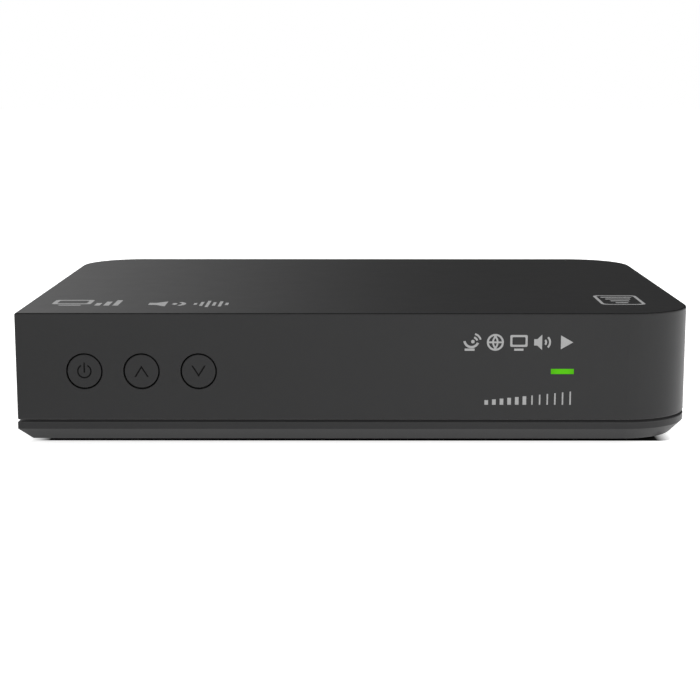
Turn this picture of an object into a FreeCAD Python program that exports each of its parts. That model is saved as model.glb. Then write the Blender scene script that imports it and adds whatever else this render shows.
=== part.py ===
"""Satellite television receiver: a small desktop box with three front keys and a status light.

Frame: +X is to the right seen from the front, +Y points to the sockets at the back, +Z is up.
The origin is the middle of the outer box's underside, where the rubber feet stand.
Lengths are in millimetres, angles in degrees.
"""

import FreeCAD, Part
import math
import os

V = FreeCAD.Vector

# ---------------------------------------------------------------- case
width = 168.0
depth = 117.0
cover_height = 26.7
corner_radius = 17.0
edge_round = 0.5
rim_round = 0.3
wall = 2.0
top_wall = 2.2
seam_gap = 0.5
band_height = 1.8
chamfer = 3.1
plinth_inset = 4.0
plinth_height = 1.0
floor_thickness = 2.0
lip_gap = 0.2
lip_thickness = 1.2
lip_height = 2.6

# ---------------------------------------------------------------- feet
foot_radius = 6.0
foot_stand = 0.5
foot_seat = 1.2
foot_fit = 0.1
foot_round = 0.3
foot_inset_x = 24.0
foot_inset_y = 16.0

# ---------------------------------------------------------------- case screws and their bosses
screw_inset_x = 12.0
screw_inset_y = 20.0
case_boss_radius = 4.0
case_boss_height = 8.5
case_screw_length = 17.0
case_shank_radius = 1.45
case_head_radius = 2.8
case_head_height = 1.9
case_head_fit = 0.4
case_head_sink = 0.4
screw_fit = 0.1
head_round_share = 0.35
recess_length_share = 1.2
recess_width_share = 0.28
recess_depth = 0.8

# ---------------------------------------------------------------- circuit boards
board_thickness = 1.6
board_height = 4.5
board_side_gap = 22.0
board_rear_gap = 0.3
part_gap = 1.0
post_radius = 3.0
post_inset = 4.0
board_shank_radius = 1.2
board_screw_length = 5.0
board_head_radius = 2.4
board_head_height = 1.5
screw_end_room = 0.4

# ---------------------------------------------------------------- keys and their switches
key_radius = 4.2
key_gap = 0.3
key_pitch = 14.1
key_inset = 16.9
key_drop = 14.5
key_round = 0.25
key_recess = 0.15
hole_round = 0.15
key_travel = 0.5
flange_overlap = 0.7
flange_thickness = 1.0
flange_gap = 0.3
collar_wall = 0.9
collar_length = 3.0
stem_radius = 2.0
stem_length = 2.0
plunger_radius = 1.7
plunger_reach = 1.5
plunger_root = 1.0
plunger_fit = 0.1
switch_side = 6.0
switch_depth = 3.5
icon_depth = 0.25
icon_stroke = 0.37
icon_radius = 1.8
icon_height = 2.85
icon_gap = 1.5
icon_bar_drop = 0.35
icon_bar_length = 2.5

# ---------------------------------------------------------------- status light and infrared sensor
light_inset = 33.2
light_length = 5.6
light_height = 1.25
light_fit = 0.05
light_flange = 1.5
light_flange_thickness = 1.2
lamp_side = 3.0
lamp_depth = 1.5
lamp_gap = 0.3
sensor_spacing = 13.0
sensor_width = 6.0
sensor_height = 7.0
sensor_body = 3.0
sensor_dome = 2.2
sensor_window_depth = 1.0

# ---------------------------------------------------------------- front board
front_board_end = 9.0
front_board_drop = 1.1
link_gap = 3.4
front_boss_radius = 2.5
front_boss_rise = 6.9
front_shank_radius = 1.0
front_screw_length = 7.0
front_head_radius = 1.9
front_head_height = 1.3
pin_count = 6
pin_pitch = 2.54
pin_width = 0.64
pin_hole_radius = 0.5
pin_block_depth = 2.5
pin_block_height = 2.5
pin_stick_out = 1.2

# ---------------------------------------------------------------- rear panel and window
panel_thickness = 1.0
panel_side_gap = 19.0
panel_slack = 0.15
window_margin = 3.0
window_top_drop = 5.2
window_round = 2.0
rib_thickness = 1.4
rib_width = 2.0
rib_drop = 12.0
rib_slack = 0.1
cutout_fit = 0.2
mouth_recess = 1.0
socket_end_share = 2.4

# ---------------------------------------------------------------- satellite tuner
tuner_width = 34.0
tuner_length = 38.0
tuner_height = 13.0
tuner_wall = 0.6
lid_wall = 0.4
lid_fit = 0.05
lid_skirt = 3.0
barrel_radius = 4.76
barrel_thread_depth = 0.26
barrel_reach = 8.5
barrel_root = 4.0
barrel_bore_radius = 3.2
barrel_chamfer = 0.4
barrel_fit = 0.05
barrel_lift = 1.0
core_recess = 0.8
core_hole_radius = 1.3
contact_bore_radius = 0.6
contact_recess = 0.6
contact_bore_depth = 8.0
contact_tail = 8.5
nut_wall = 0.74
nut_bevel = 0.25
nut_thickness = 2.2
washer_rim = 0.25
washer_thickness = 0.5

# ---------------------------------------------------------------- network socket
network_width = 16.0
network_height = 13.4
network_length = 21.0
network_shield = 0.3
network_cavity_width = 11.9
network_cavity_height = 7.6
network_cavity_depth = 14.0
network_cavity_floor = 2.8
latch_width = 6.2
latch_height = 1.8
network_contact_count = 8
network_contact_pitch = 1.02
network_contact_width = 0.4
network_contact_thickness = 0.25
network_contact_length = 6.0
network_contact_angle = 12.0
network_contact_start = 2.0
network_contact_gap = 0.1
network_lamp_width = 2.6
network_lamp_height = 1.7
network_lamp_depth = 1.0
network_lamp_margin = 0.5

# ---------------------------------------------------------------- data socket
data_width = 13.2
data_height = 5.8
data_length = 14.0
data_tongue_width = 11.1
data_tongue_height = 1.9
data_tongue_length = 9.0
data_tongue_drop = 0.6
socket_shell = 0.35
socket_fit = 0.05
contact_thickness = 0.12
data_contact_count = 4
data_contact_pitch = 2.4
data_contact_width = 1.0

# ---------------------------------------------------------------- video socket
video_width = 15.2
video_height = 6.0
video_length = 12.0
video_corner = 1.6
video_tongue_width = 11.9
video_tongue_height = 1.7
video_tongue_length = 7.4
video_tongue_drop = 1.2
video_contact_count = 10
video_contact_pitch = 1.0
video_contact_width = 0.45

# ---------------------------------------------------------------- optical audio socket
optical_width = 9.8
optical_length = 13.5
optical_mouth = 7.8
optical_floor = 0.9
optical_front = 1.0
optical_back = 2.5
optical_roof = 0.8
shutter_thickness = 0.8
shutter_play = 0.2
shutter_pivot_radius = 0.35
shutter_pivot_length = 0.5
shutter_pivot_fit = 0.05
emitter_radius = 1.5
emitter_length = 1.2

# ---------------------------------------------------------------- power inlet
inlet_width = 9.0
inlet_height = 11.0
inlet_length = 14.0
inlet_bore_radius = 3.2
inlet_bore_depth = 9.6
inlet_bore_height = 6.4
inlet_pin_radius = 1.0
inlet_pin_length = 9.0
inlet_pin_round = 0.4
inlet_pin_root = 1.5
inlet_pin_shoulder = 0.4
inlet_spring_width = 2.4
inlet_spring_thickness = 0.3
inlet_spring_length = 6.0

# ---------------------------------------------------------------- parts on the main board
processor_setback = 39.0
processor_side = 19.0
processor_height = 1.4
pad_side = 17.0
pad_thickness = 0.5
sink_side = 34.0
sink_base = 2.0
sink_height = 9.0
fin_count = 9
fin_thickness = 1.2
clip_inset = 3.2
clip_radius = 1.2
clip_hole_radius = 1.4
clip_head_radius = 2.4
clip_head_height = 1.2
clip_tail = 1.2
clip_room = 0.5
memory_length = 11.0
memory_width = 8.0
memory_height = 1.1
chip_gap = 3.0
flash_length = 12.0
flash_width = 8.0
flash_height = 1.2
capacitor_radius = 4.0
capacitor_height = 11.0
capacitor_round = 0.6
capacitor_pitch = 9.5
capacitor_count = 4
coil_side = 7.0
coil_height = 4.2
coil_round = 1.2
coil_pitch = 10.0
coil_count = 3
transformer_length = 12.6
transformer_width = 9.4
transformer_height = 5.6
transformer_gap = 4.0
crystal_half_length = 3.5
crystal_radius = 2.3
crystal_height = 3.5

# ---------------------------------------------------------------- vents and rating plate
vent_width = 2.0
vent_pitch = 4.4
vent_length = 24.0
vent_count = 14
vent_bank_gap = 8.0
panel_vent_width = 1.8
panel_vent_height = 3.4
panel_vent_pitch = 4.0
panel_vent_count = 25
panel_vent_margin = 2.2
plate_length = 60.0
plate_width = 14.0
plate_depth = 0.3
plate_gap = 4.0

# ---------------------------------------------------------------- levels and faces worked out
spare = 1.0
plinth_z = foot_stand
chamfer_z = plinth_z + plinth_height
band_z = chamfer_z + chamfer
seam_z = band_z + band_height
cover_z = seam_z + seam_gap
top_z = cover_z + cover_height
ceiling_z = top_z - top_wall
floor_z = plinth_z + floor_thickness
lip_outer = wall + lip_gap
lip_inner = lip_outer + lip_thickness
lip_z = seam_z + lip_height
board_z = floor_z + board_height
board_top = board_z + board_thickness
case_boss_z = floor_z + case_boss_height
case_seat_z = plinth_z + case_head_sink + case_head_height

rear_y = (depth - barrel_reach) / 2
front_y = rear_y - depth
panel_out_y = rear_y - wall
panel_in_y = panel_out_y - panel_thickness
mouth_y = rear_y - mouth_recess
panel_half_width = width / 2 - panel_side_gap
board_half_width = width / 2 - board_side_gap
board_rear_y = panel_in_y - board_rear_gap

key_z = top_z - key_drop
key_xs = [-width / 2 + key_inset + key_pitch * i for i in range(3)]
hole_radius = key_radius + key_gap
flange_radius = hole_radius + flange_overlap
key_face_y = front_y + key_recess
wall_in_y = front_y + wall
flange_back_y = wall_in_y + flange_thickness
plunger_tip_y = flange_back_y + stem_length
switch_face_y = plunger_tip_y + plunger_reach
front_board_y = switch_face_y + switch_depth
front_board_back_y = front_board_y + board_thickness
board_front_y = front_board_back_y + link_gap
light_x = width / 2 - light_inset
sensor_x = light_x - sensor_spacing
front_screw_xs = [(key_xs[0] + key_xs[1]) / 2, (key_xs[2] + sensor_x) / 2, (sensor_x + light_x) / 2]
front_screw_z = key_z + front_boss_rise
pin_z = board_top + pin_block_height / 2

window_half = panel_half_width - window_margin
window_top = top_z - window_top_drop
panel_top = ceiling_z - panel_slack
barrel_z = board_top + tuner_height / 2 + barrel_lift
barrel_neck_radius = barrel_radius - barrel_thread_depth
nut_corner = (barrel_radius + nut_wall) * 2 / math.sqrt(3)
nut_y = panel_out_y + washer_thickness
barrel_shoulder_y = nut_y + nut_thickness
barrel_tip_y = rear_y + barrel_reach
barrel_root_y = panel_in_y - tuner_wall - barrel_root
core_face_y = barrel_tip_y - core_recess
optical_cavity_z = board_top + optical_floor
pivot_z = optical_cavity_z + optical_mouth + shutter_play + shutter_thickness / 2
pivot_y = mouth_y - optical_front - shutter_play - shutter_thickness / 2
optical_roof_z = pivot_z + shutter_thickness / 2 + shutter_play
optical_height = optical_roof_z + optical_roof - board_top
inlet_z = board_top + inlet_bore_height
inlet_bore_y = mouth_y - inlet_bore_depth

# the sockets stand in a row with even gaps, from the power inlet on the left to the tuner on the right,
# and the gap at each end of the row is wider by a fixed share
socket_widths = [inlet_width, optical_width, video_width, data_width, network_width, tuner_width]
socket_room = 2 * panel_half_width - sum(socket_widths)
socket_gap = socket_room / (len(socket_widths) - 1 + 2 * socket_end_share)
socket_left = socket_gap * socket_end_share - panel_half_width


def socket_centre(place):
    return socket_left + sum(socket_widths[:place]) + socket_gap * place + socket_widths[place] / 2


inlet_x, optical_x, video_x, data_x, network_x, tuner_x = [socket_centre(place) for place in range(6)]
tuner_front_y = panel_in_y - tuner_length - lid_fit - lid_wall

# the power parts stand in two columns behind the left posts, with the processor to their right
capacitor_x = -board_half_width + post_inset + board_head_radius + part_gap + capacitor_radius
coil_x = capacitor_x + capacitor_radius + part_gap + coil_side / 2
processor_x = coil_x + coil_side / 2 + 2 * crystal_radius + 2 * part_gap + sink_side / 2
processor_y = board_front_y + processor_setback


# ================================================================ shapes used by several pieces
def block(x0, x1, y0, y1, z0, z1):
    return Part.makeBox(x1 - x0, y1 - y0, z1 - z0, V(x0, y0, z0))


def bar(x, z, w, h, y0, y1):
    """A straight bar along Y, with a section w wide and h high about (x, z)."""
    return block(x - w / 2, x + w / 2, y0, y1, z - h / 2, z + h / 2)


def standing(x, w, h, y0, y1):
    """A box that stands on the main board."""
    return block(x - w / 2, x + w / 2, y0, y1, board_top, board_top + h)


def on_board(x, y, w, d, h):
    return standing(x, w, h, y - d / 2, y + d / 2)


def upright(x, y, radius, z0, z1):
    return Part.makeCylinder(radius, z1 - z0, V(x, y, z0))


def level(x, z, radius, y0, y1):
    """A round bar along Y."""
    return Part.makeCylinder(radius, y1 - y0, V(x, y0, z), V(0, 1, 0))


def crosswise(x, y, z, radius, half_length):
    """A round bar along X."""
    return Part.makeCylinder(radius, 2 * half_length, V(x - half_length, y, z), V(1, 0, 0))


def ring(x, z, outer, inner, y0, y1):
    return level(x, z, outer, y0, y1).cut(level(x, z, inner, y0, y1))


def prism(outline, y0, y1):
    """A straight piece along Y with the given outline of (x, z) points."""
    points = [V(x, y0, z) for x, z in outline]
    return Part.Face(Part.makePolygon(points + points[:1])).extrude(V(0, y1 - y0, 0))


def spread(middle, count, pitch):
    return [middle + pitch * (i - (count - 1) / 2) for i in range(count)]


pin_xs = spread(0, pin_count, pin_pitch)


def plan_wire(inset, z):
    """The case in plan: square at the front left corner, round at the other three."""
    left = -width / 2 + inset
    right = width / 2 - inset
    front = front_y + inset
    rear = rear_y - inset
    r = corner_radius - inset
    m = r * (1 - math.sqrt(0.5))
    a = V(left, front, z)
    b, c, d = V(right - r, front, z), V(right - m, front + m, z), V(right, front + r, z)
    e, f, g = V(right, rear - r, z), V(right - m, rear - m, z), V(right - r, rear, z)
    h, i, j = V(left + r, rear, z), V(left + m, rear - m, z), V(left, rear - r, z)
    curves = [
        Part.LineSegment(a, b),
        Part.Arc(b, c, d),
        Part.LineSegment(d, e),
        Part.Arc(e, f, g),
        Part.LineSegment(g, h),
        Part.Arc(h, i, j),
        Part.LineSegment(j, a),
    ]
    return Part.Wire([curve.toShape() for curve in curves])


def plan_slab(inset, z0, z1):
    return Part.Face(plan_wire(inset, z0)).extrude(V(0, 0, z1 - z0))


def plan_taper(inset0, z0, inset1, z1):
    return Part.makeLoft([plan_wire(inset0, z0), plan_wire(inset1, z1)], True, True)


def soften(solid, radius, wanted):
    """Rounds the edges for which wanted(edge box) is true."""
    edges = [e for e in solid.Edges if wanted(e.BoundBox)]
    return solid.makeFillet(radius, edges)


def at_level(z):
    return lambda b: abs(b.ZMin - z) < 1e-6 and abs(b.ZMax - z) < 1e-6


def at_depth(y):
    return lambda b: abs(b.YMin - y) < 1e-6 and abs(b.YMax - y) < 1e-6


def at_sharp_corner(b):
    reach = chamfer + 1e-6
    return b.ZLength > rim_round and b.XMax < -width / 2 + reach and b.YMax < front_y + reach


def four_corners(half_x, y_front, y_rear):
    return [(x, y) for y in (y_front, y_rear) for x in (-half_x, half_x)]


case_screw_spots = four_corners(width / 2 - screw_inset_x, front_y + screw_inset_y, rear_y - screw_inset_y)
foot_spots = four_corners(width / 2 - foot_inset_x, front_y + foot_inset_y, rear_y - foot_inset_y)
post_rear_y = tuner_front_y - part_gap - board_head_radius
post_spots = four_corners(board_half_width - post_inset, board_front_y + post_inset, post_rear_y)


def slot(x, y0, y1, w, z0, z1):
    """A round-ended slot along Y, as a cutter."""
    r = w / 2
    middle = block(x - r, x + r, y0 + r, y1 - r, z0, z1)
    return middle.fuse([upright(x, y, r, z0, z1) for y in (y0 + r, y1 - r)])


def screw(head_radius, head_height, shank_radius, shank_length):
    """A cross-recess screw on the Z axis: bearing face at z = 0, shank upwards."""
    head = upright(0, 0, head_radius, -head_height, 0)
    head = soften(head, head_height * head_round_share, at_level(-head_height))
    long = head_radius * recess_length_share / 2
    short = head_radius * recess_width_share / 2
    floor = recess_depth - head_height
    cross = block(-long, long, -short, short, -head_height, floor)
    cross = cross.fuse(block(-short, short, -long, long, -head_height, floor))
    return head.fuse(upright(0, 0, shank_radius, 0, shank_length)).cut(cross)


def placed(shape, x, y, z, angle=0.0):
    """A copy turned about the X axis and then moved."""
    copy = shape.copy()
    copy.rotate(V(0, 0, 0), V(1, 0, 0), angle)
    copy.translate(V(x, y, z))
    return copy


def group(solids):
    return Part.makeCompound(solids)


# ================================================================ case
def panel_rib(side, z0, z1):
    """An upright rib that keeps one end of the rear panel against the case's rear wall."""
    x = side * (panel_half_width - rib_width / 2 - rib_slack)
    y = panel_in_y - rib_slack
    return block(x - rib_width / 2, x + rib_width / 2, y - rib_thickness, y, z0, z1)


def rear_window():
    ends = (panel_out_y - spare, rear_y + spare)
    window = block(-window_half, window_half, *ends, cover_z - spare, window_top)
    return soften(window, window_round, lambda b: b.ZMin > window_top - 1e-6 and b.XLength < 1e-6)


def upper_cover():
    """The cover: top, front and sides in one shell, with bosses, key collars and an open back."""
    shell = plan_slab(0, cover_z, top_z)
    shell = soften(shell, edge_round, lambda b: at_level(top_z)(b) or at_sharp_corner(b))
    shell = soften(shell, rim_round, at_level(cover_z))
    for x in key_xs:
        shell = shell.cut(level(x, key_z, hole_radius, front_y - spare, wall_in_y))
    hole_reach = 2 * (hole_radius + hole_round)
    shell = soften(shell, hole_round, lambda b: at_depth(front_y)(b) and b.XLength < hole_reach)
    shell = shell.cut(plan_slab(wall, cover_z - spare, ceiling_z))
    added = [panel_rib(side, ceiling_z - rib_drop, ceiling_z) for side in (-1, 1)]
    removed = [rear_window()]
    for x, y in case_screw_spots:
        added.append(upright(x, y, case_boss_radius, case_boss_z, ceiling_z))
        hole_top = case_seat_z + case_screw_length + screw_end_room
        removed.append(upright(x, y, case_shank_radius + screw_fit, case_boss_z, hole_top))
    collar_inner = flange_radius + flange_gap
    collar_outer = collar_inner + collar_wall
    for x in key_xs:
        added.append(ring(x, key_z, collar_outer, collar_inner, wall_in_y, wall_in_y + collar_length))
    for x in front_screw_xs:
        added.append(level(x, front_screw_z, front_boss_radius, wall_in_y, front_board_y))
        hole_start = front_board_back_y - front_screw_length - screw_end_room
        removed.append(level(x, front_screw_z, front_shank_radius + screw_fit, hole_start, front_board_y))
    light_hole = (light_length + 2 * light_fit, light_height + 2 * light_fit)
    removed.append(bar(light_x, key_z, *light_hole, front_y - spare, wall_in_y))
    thin_y = wall_in_y - sensor_window_depth
    removed.append(bar(sensor_x, key_z, sensor_width, sensor_width, thin_y, wall_in_y))
    return shell.fuse(added).cut(removed).removeSplitter()


def tray_blank():
    """A plinth, a sloped skirt and a band, with a lip that stands inside the cover's lower edge."""
    plinth = plan_slab(chamfer + plinth_inset, plinth_z, chamfer_z)
    skirt = plan_taper(chamfer, chamfer_z, 0, band_z).fuse(plan_slab(0, band_z, seam_z)).removeSplitter()
    rims = (at_level(seam_z), at_level(chamfer_z), at_sharp_corner)
    skirt = soften(skirt, rim_round, lambda b: any(rim(b) for rim in rims))
    tray = plinth.fuse([skirt, plan_slab(lip_outer, seam_z, lip_z)])
    hollow = plan_taper(lip_inner + band_z - floor_z, floor_z, lip_inner, band_z)
    return tray.cut([hollow, plan_slab(lip_inner, band_z, lip_z + spare)])


def bottom_tray():
    added = [panel_rib(side, floor_z, lip_z) for side in (-1, 1)]
    removed = []
    for x, y in case_screw_spots:
        added.append(upright(x, y, case_boss_radius, floor_z, case_boss_z))
        removed.append(upright(x, y, case_shank_radius + screw_fit * 2, case_seat_z, case_boss_z))
        removed.append(upright(x, y, case_head_radius + case_head_fit, plinth_z - spare, case_seat_z))
    for x, y in post_spots:
        added.append(upright(x, y, post_radius, floor_z, board_z))
        hole_z = board_top - board_screw_length - screw_end_room
        removed.append(upright(x, y, board_shank_radius + screw_fit, hole_z, board_z))
    for x, y in foot_spots:
        removed.append(upright(x, y, foot_radius + foot_fit, plinth_z - spare, plinth_z + foot_seat))
    middle = (front_y + rear_y) / 2
    for bank_y in spread(middle, 2, vent_bank_gap + vent_length):
        ends = (bank_y - vent_length / 2, bank_y + vent_length / 2)
        for x in spread(0, vent_count, vent_pitch):
            removed.append(slot(x, *ends, vent_width, plinth_z - spare, floor_z + spare))
    plate_y = middle - vent_bank_gap / 2 - vent_length - plate_gap - plate_width
    plate_ends = (-plate_length / 2, plate_length / 2, plate_y, plate_y + plate_width)
    removed.append(block(*plate_ends, plinth_z - spare, plinth_z + plate_depth))
    reach = panel_half_width + panel_slack
    panel_slot = block(-reach, reach, rear_y - lip_inner - spare, panel_out_y, band_z, lip_z + spare)
    return tray_blank().cut(panel_slot).fuse(added).cut(removed).removeSplitter()


def rubber_foot(x, y):
    foot = upright(x, y, foot_radius, 0, plinth_z + foot_seat)
    return soften(foot, foot_round, at_level(0))


def case_screws():
    one = screw(case_head_radius, case_head_height, case_shank_radius, case_screw_length)
    return group([placed(one, x, y, case_seat_z) for x, y in case_screw_spots])


# ================================================================ keys
def power_icon(x):
    y0 = key_face_y
    y1 = key_face_y + icon_depth
    arc = ring(x, key_z, icon_radius, icon_radius - icon_stroke, y0, y1)
    half_gap = icon_gap / 2
    arc = arc.cut(block(x - half_gap, x + half_gap, y0, y1, key_z + half_gap, key_z + icon_radius))
    low = key_z - icon_bar_drop
    return arc.fuse(block(x - icon_stroke / 2, x + icon_stroke / 2, y0, y1, low, low + icon_bar_length))


def arrow_icon(x, direction):
    """An arrow head of two strokes that points up for +1 and down for -1."""
    run = icon_stroke / math.sin(math.atan2(icon_height, icon_radius))
    drop = run * icon_height / icon_radius
    tip = direction * icon_height / 2
    half_outline = [(icon_radius, -tip), (icon_radius - run, -tip), (0, tip - direction * drop)]
    outline = [(0, tip)] + half_outline + [(-px, pz) for px, pz in half_outline[1::-1]]
    return prism([(x + px, key_z + pz) for px, pz in outline], key_face_y, key_face_y + icon_depth)


def key(x, icon):
    """A key: the face in its hole, a flange that stops it behind the wall and a stem to its switch."""
    face = level(x, key_z, key_radius, key_face_y, wall_in_y)
    face = soften(face, key_round, at_depth(key_face_y))
    flange = level(x, key_z, flange_radius, wall_in_y, flange_back_y)
    stem = level(x, key_z, stem_radius, flange_back_y, plunger_tip_y)
    return face.fuse([flange, stem]).cut(icon).removeSplitter()


def switch_plunger(x):
    return level(x, key_z, plunger_radius, plunger_tip_y, switch_face_y + plunger_root)


def switch_housing(x):
    body = bar(x, key_z, switch_side, switch_side, switch_face_y, front_board_y)
    well = plunger_root + key_travel + flange_gap
    return body.cut(level(x, key_z, plunger_radius + plunger_fit, switch_face_y, switch_face_y + well))


# ================================================================ front board and what it carries
def front_board():
    left = key_xs[0] - front_board_end
    right = light_x + front_board_end
    low = board_top - front_board_drop
    high = front_screw_z + front_boss_radius
    board = block(left, right, front_board_y, front_board_back_y, low, high)
    screw_hole = front_shank_radius + screw_fit * 2
    holes = [level(x, front_screw_z, screw_hole, front_board_y, front_board_back_y) for x in front_screw_xs]
    holes += [level(x, pin_z, pin_hole_radius, front_board_y, front_board_back_y) for x in pin_xs]
    return board.cut(holes)


def front_board_screws():
    one = screw(front_head_radius, front_head_height, front_shank_radius, front_screw_length)
    return group([placed(one, x, front_board_back_y, front_screw_z, 90) for x in front_screw_xs])


def status_light_guide():
    """A clear bar from the front of the case to the lamp, with a flange behind the wall."""
    rod = bar(light_x, key_z, light_length, light_height, front_y, front_board_y - lamp_depth - lamp_gap)
    wide = light_length + 2 * light_flange
    high = light_height + 2 * light_flange
    return rod.fuse(bar(light_x, key_z, wide, high, wall_in_y, wall_in_y + light_flange_thickness))


def status_lamp():
    return bar(light_x, key_z, lamp_side, lamp_side, front_board_y - lamp_depth, front_board_y)


def infrared_sensor():
    face_y = front_board_y - sensor_body
    body = bar(sensor_x, key_z, sensor_width, sensor_height, face_y, front_board_y)
    return body.fuse(Part.makeSphere(sensor_dome, V(sensor_x, face_y, key_z)))


def link_header_block():
    half = pin_pitch * pin_count / 2
    back_y = board_front_y + pin_block_depth
    body = block(-half, half, board_front_y, back_y, board_top, board_top + pin_block_height)
    return body.cut([bar(x, pin_z, pin_width, pin_width, board_front_y, back_y) for x in pin_xs])


def link_header_pins():
    """Bent pins: through the front board, along through the header and down through the main board."""
    bend_y = board_front_y + pin_block_depth
    back_y = bend_y + pin_width
    w = pin_width / 2
    pins = []
    for x in pin_xs:
        arm = bar(x, pin_z, pin_width, pin_width, front_board_y - pin_stick_out, back_y)
        tail = block(x - w, x + w, bend_y, back_y, board_z - pin_stick_out, pin_z + w)
        pins.append(arm.fuse(tail).removeSplitter())
    return group(pins)


# ================================================================ main board and what it carries
def main_board():
    board = block(-board_half_width, board_half_width, board_front_y, board_rear_y, board_z, board_top)
    holes = [upright(x, y, board_shank_radius + screw_fit * 2, board_z, board_top) for x, y in post_spots]
    pin_y = board_front_y + pin_block_depth + pin_width / 2
    holes += [upright(x, pin_y, pin_hole_radius, board_z, board_top) for x in pin_xs]
    holes += [upright(x, y, clip_hole_radius, board_z, board_top) for x, y in clip_spots()]
    return board.cut(holes)


def board_screws():
    one = screw(board_head_radius, board_head_height, board_shank_radius, board_screw_length)
    return group([placed(one, x, y, board_top, 180) for x, y in post_spots])


def processor():
    return on_board(processor_x, processor_y, processor_side, processor_side, processor_height)


def thermal_pad():
    pad = on_board(processor_x, processor_y, pad_side, pad_side, pad_thickness)
    return placed(pad, 0, 0, processor_height)


def clip_spots():
    reach = sink_side / 2 - clip_inset
    return [(processor_x - reach, processor_y + reach), (processor_x + reach, processor_y - reach)]


def heat_sink():
    z0 = board_top + processor_height + pad_thickness
    z1 = z0 + sink_base
    z2 = z0 + sink_height
    half = sink_side / 2
    ends = (processor_y - half, processor_y + half)
    base = block(processor_x - half, processor_x + half, *ends, z0, z1)
    pitch = (sink_side - fin_thickness) / (fin_count - 1)
    w = fin_thickness / 2
    sink = base.fuse([block(x - w, x + w, *ends, z1, z2) for x in spread(processor_x, fin_count, pitch)])
    cuts = [upright(x, y, clip_head_radius + clip_room, z1, z2) for x, y in clip_spots()]
    cuts += [upright(x, y, clip_hole_radius, z0, z1) for x, y in clip_spots()]
    return sink.cut(cuts).removeSplitter()


def heat_sink_clips():
    seat = board_top + processor_height + pad_thickness + sink_base
    clips = []
    for x, y in clip_spots():
        pin = upright(x, y, clip_radius, board_z - clip_tail, seat)
        clips.append(pin.fuse(upright(x, y, clip_head_radius, seat, seat + clip_head_height)))
    return group(clips)


def memory_chips():
    x = processor_x + (sink_side + memory_width) / 2 + chip_gap
    ys = spread(processor_y, 2, memory_length + chip_gap)
    return group([on_board(x, y, memory_width, memory_length, memory_height) for y in ys])


def flash_chip():
    y = processor_y - (sink_side + flash_width) / 2 - chip_gap
    return on_board(processor_x, y, flash_length, flash_width, flash_height)


def crystal():
    x = processor_x - sink_side / 2 - part_gap - crystal_radius
    y = processor_y - sink_side / 2
    can = on_board(x, y, 2 * crystal_radius, 2 * crystal_half_length, crystal_height)
    top = board_top + crystal_height
    end_ys = spread(y, 2, 2 * crystal_half_length)
    ends = [upright(x, end_y, crystal_radius, board_top, top) for end_y in end_ys]
    return can.fuse(ends).removeSplitter()


def capacitors():
    top = board_top + capacitor_height
    first_y = mouth_y - inlet_length - part_gap - capacitor_radius
    ys = [first_y - capacitor_pitch * i for i in range(capacitor_count)]
    cans = [upright(capacitor_x, y, capacitor_radius, board_top, top) for y in ys]
    return group([soften(can, capacitor_round, at_level(top)) for can in cans])


def power_coils():
    first_y = mouth_y - optical_length - part_gap - coil_side / 2
    ys = [first_y - coil_pitch * i for i in range(coil_count)]
    coils = [on_board(coil_x, y, coil_side, coil_side, coil_height) for y in ys]
    return group([soften(coil, coil_round, lambda b: b.ZLength > coil_height - 1e-6) for coil in coils])


def network_transformer():
    y = mouth_y - network_length - transformer_gap - transformer_width / 2
    return on_board(network_x, y, transformer_length, transformer_width, transformer_height)


# ================================================================ tuner and satellite input
def tuner_frame():
    t = tuner_wall
    y0 = panel_in_y - tuner_length
    frame = standing(tuner_x, tuner_width, tuner_height, y0, panel_in_y)
    inside = standing(tuner_x, tuner_width - 2 * t, tuner_height, y0 + t, panel_in_y - t)
    neck_hole = level(tuner_x, barrel_z, barrel_neck_radius + barrel_fit, panel_in_y - t, panel_in_y)
    return frame.cut([inside, neck_hole])


def tuner_lid():
    """A sheet cap that snaps over the frame, open at the back where the panel is."""
    half = tuner_width / 2 + lid_fit
    inner_z = board_top + tuner_height + lid_fit
    low = inner_z - lid_skirt
    out = half + lid_wall
    cap = block(tuner_x - out, tuner_x + out, tuner_front_y, panel_in_y - lid_fit, low, inner_z + lid_wall)
    return cap.cut(block(tuner_x - half, tuner_x + half, tuner_front_y + lid_wall, panel_in_y, low, inner_z))


def satellite_input_barrel():
    neck = level(tuner_x, barrel_z, barrel_neck_radius, barrel_root_y, barrel_shoulder_y)
    thread = level(tuner_x, barrel_z, barrel_radius, barrel_shoulder_y, barrel_tip_y)
    tip = [e for e in thread.Edges if at_depth(barrel_tip_y)(e.BoundBox)]
    thread = thread.makeChamfer(barrel_chamfer, tip)
    return neck.fuse(thread).cut(level(tuner_x, barrel_z, barrel_bore_radius, barrel_root_y, barrel_tip_y))


def satellite_input_core():
    """The pale insulator inside the barrel, with a hole for the contact."""
    core_radius = barrel_bore_radius - barrel_fit
    return ring(tuner_x, barrel_z, core_radius, core_hole_radius, barrel_root_y, core_face_y)


def satellite_input_contact():
    """A spring tube that takes the cable's centre wire and runs back into the tuner."""
    tip_y = core_face_y - contact_recess
    tube = level(tuner_x, barrel_z, core_hole_radius - barrel_fit, barrel_root_y - contact_tail, tip_y)
    return tube.cut(level(tuner_x, barrel_z, contact_bore_radius, tip_y - contact_bore_depth, tip_y))


def satellite_input_nut():
    corners = [math.radians(60 * i) for i in range(6)]
    outline = [(tuner_x + nut_corner * math.cos(a), barrel_z + nut_corner * math.sin(a)) for a in corners]
    nut = prism(outline, nut_y, barrel_shoulder_y)
    turned = level(tuner_x, barrel_z, nut_corner - nut_bevel, nut_y, barrel_shoulder_y)
    bore = level(tuner_x, barrel_z, barrel_neck_radius + barrel_fit, nut_y, barrel_shoulder_y)
    return nut.common(turned).cut(bore)


def satellite_input_washer():
    return ring(tuner_x, barrel_z, nut_corner + washer_rim, barrel_radius + barrel_fit, panel_out_y, nut_y)


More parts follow.
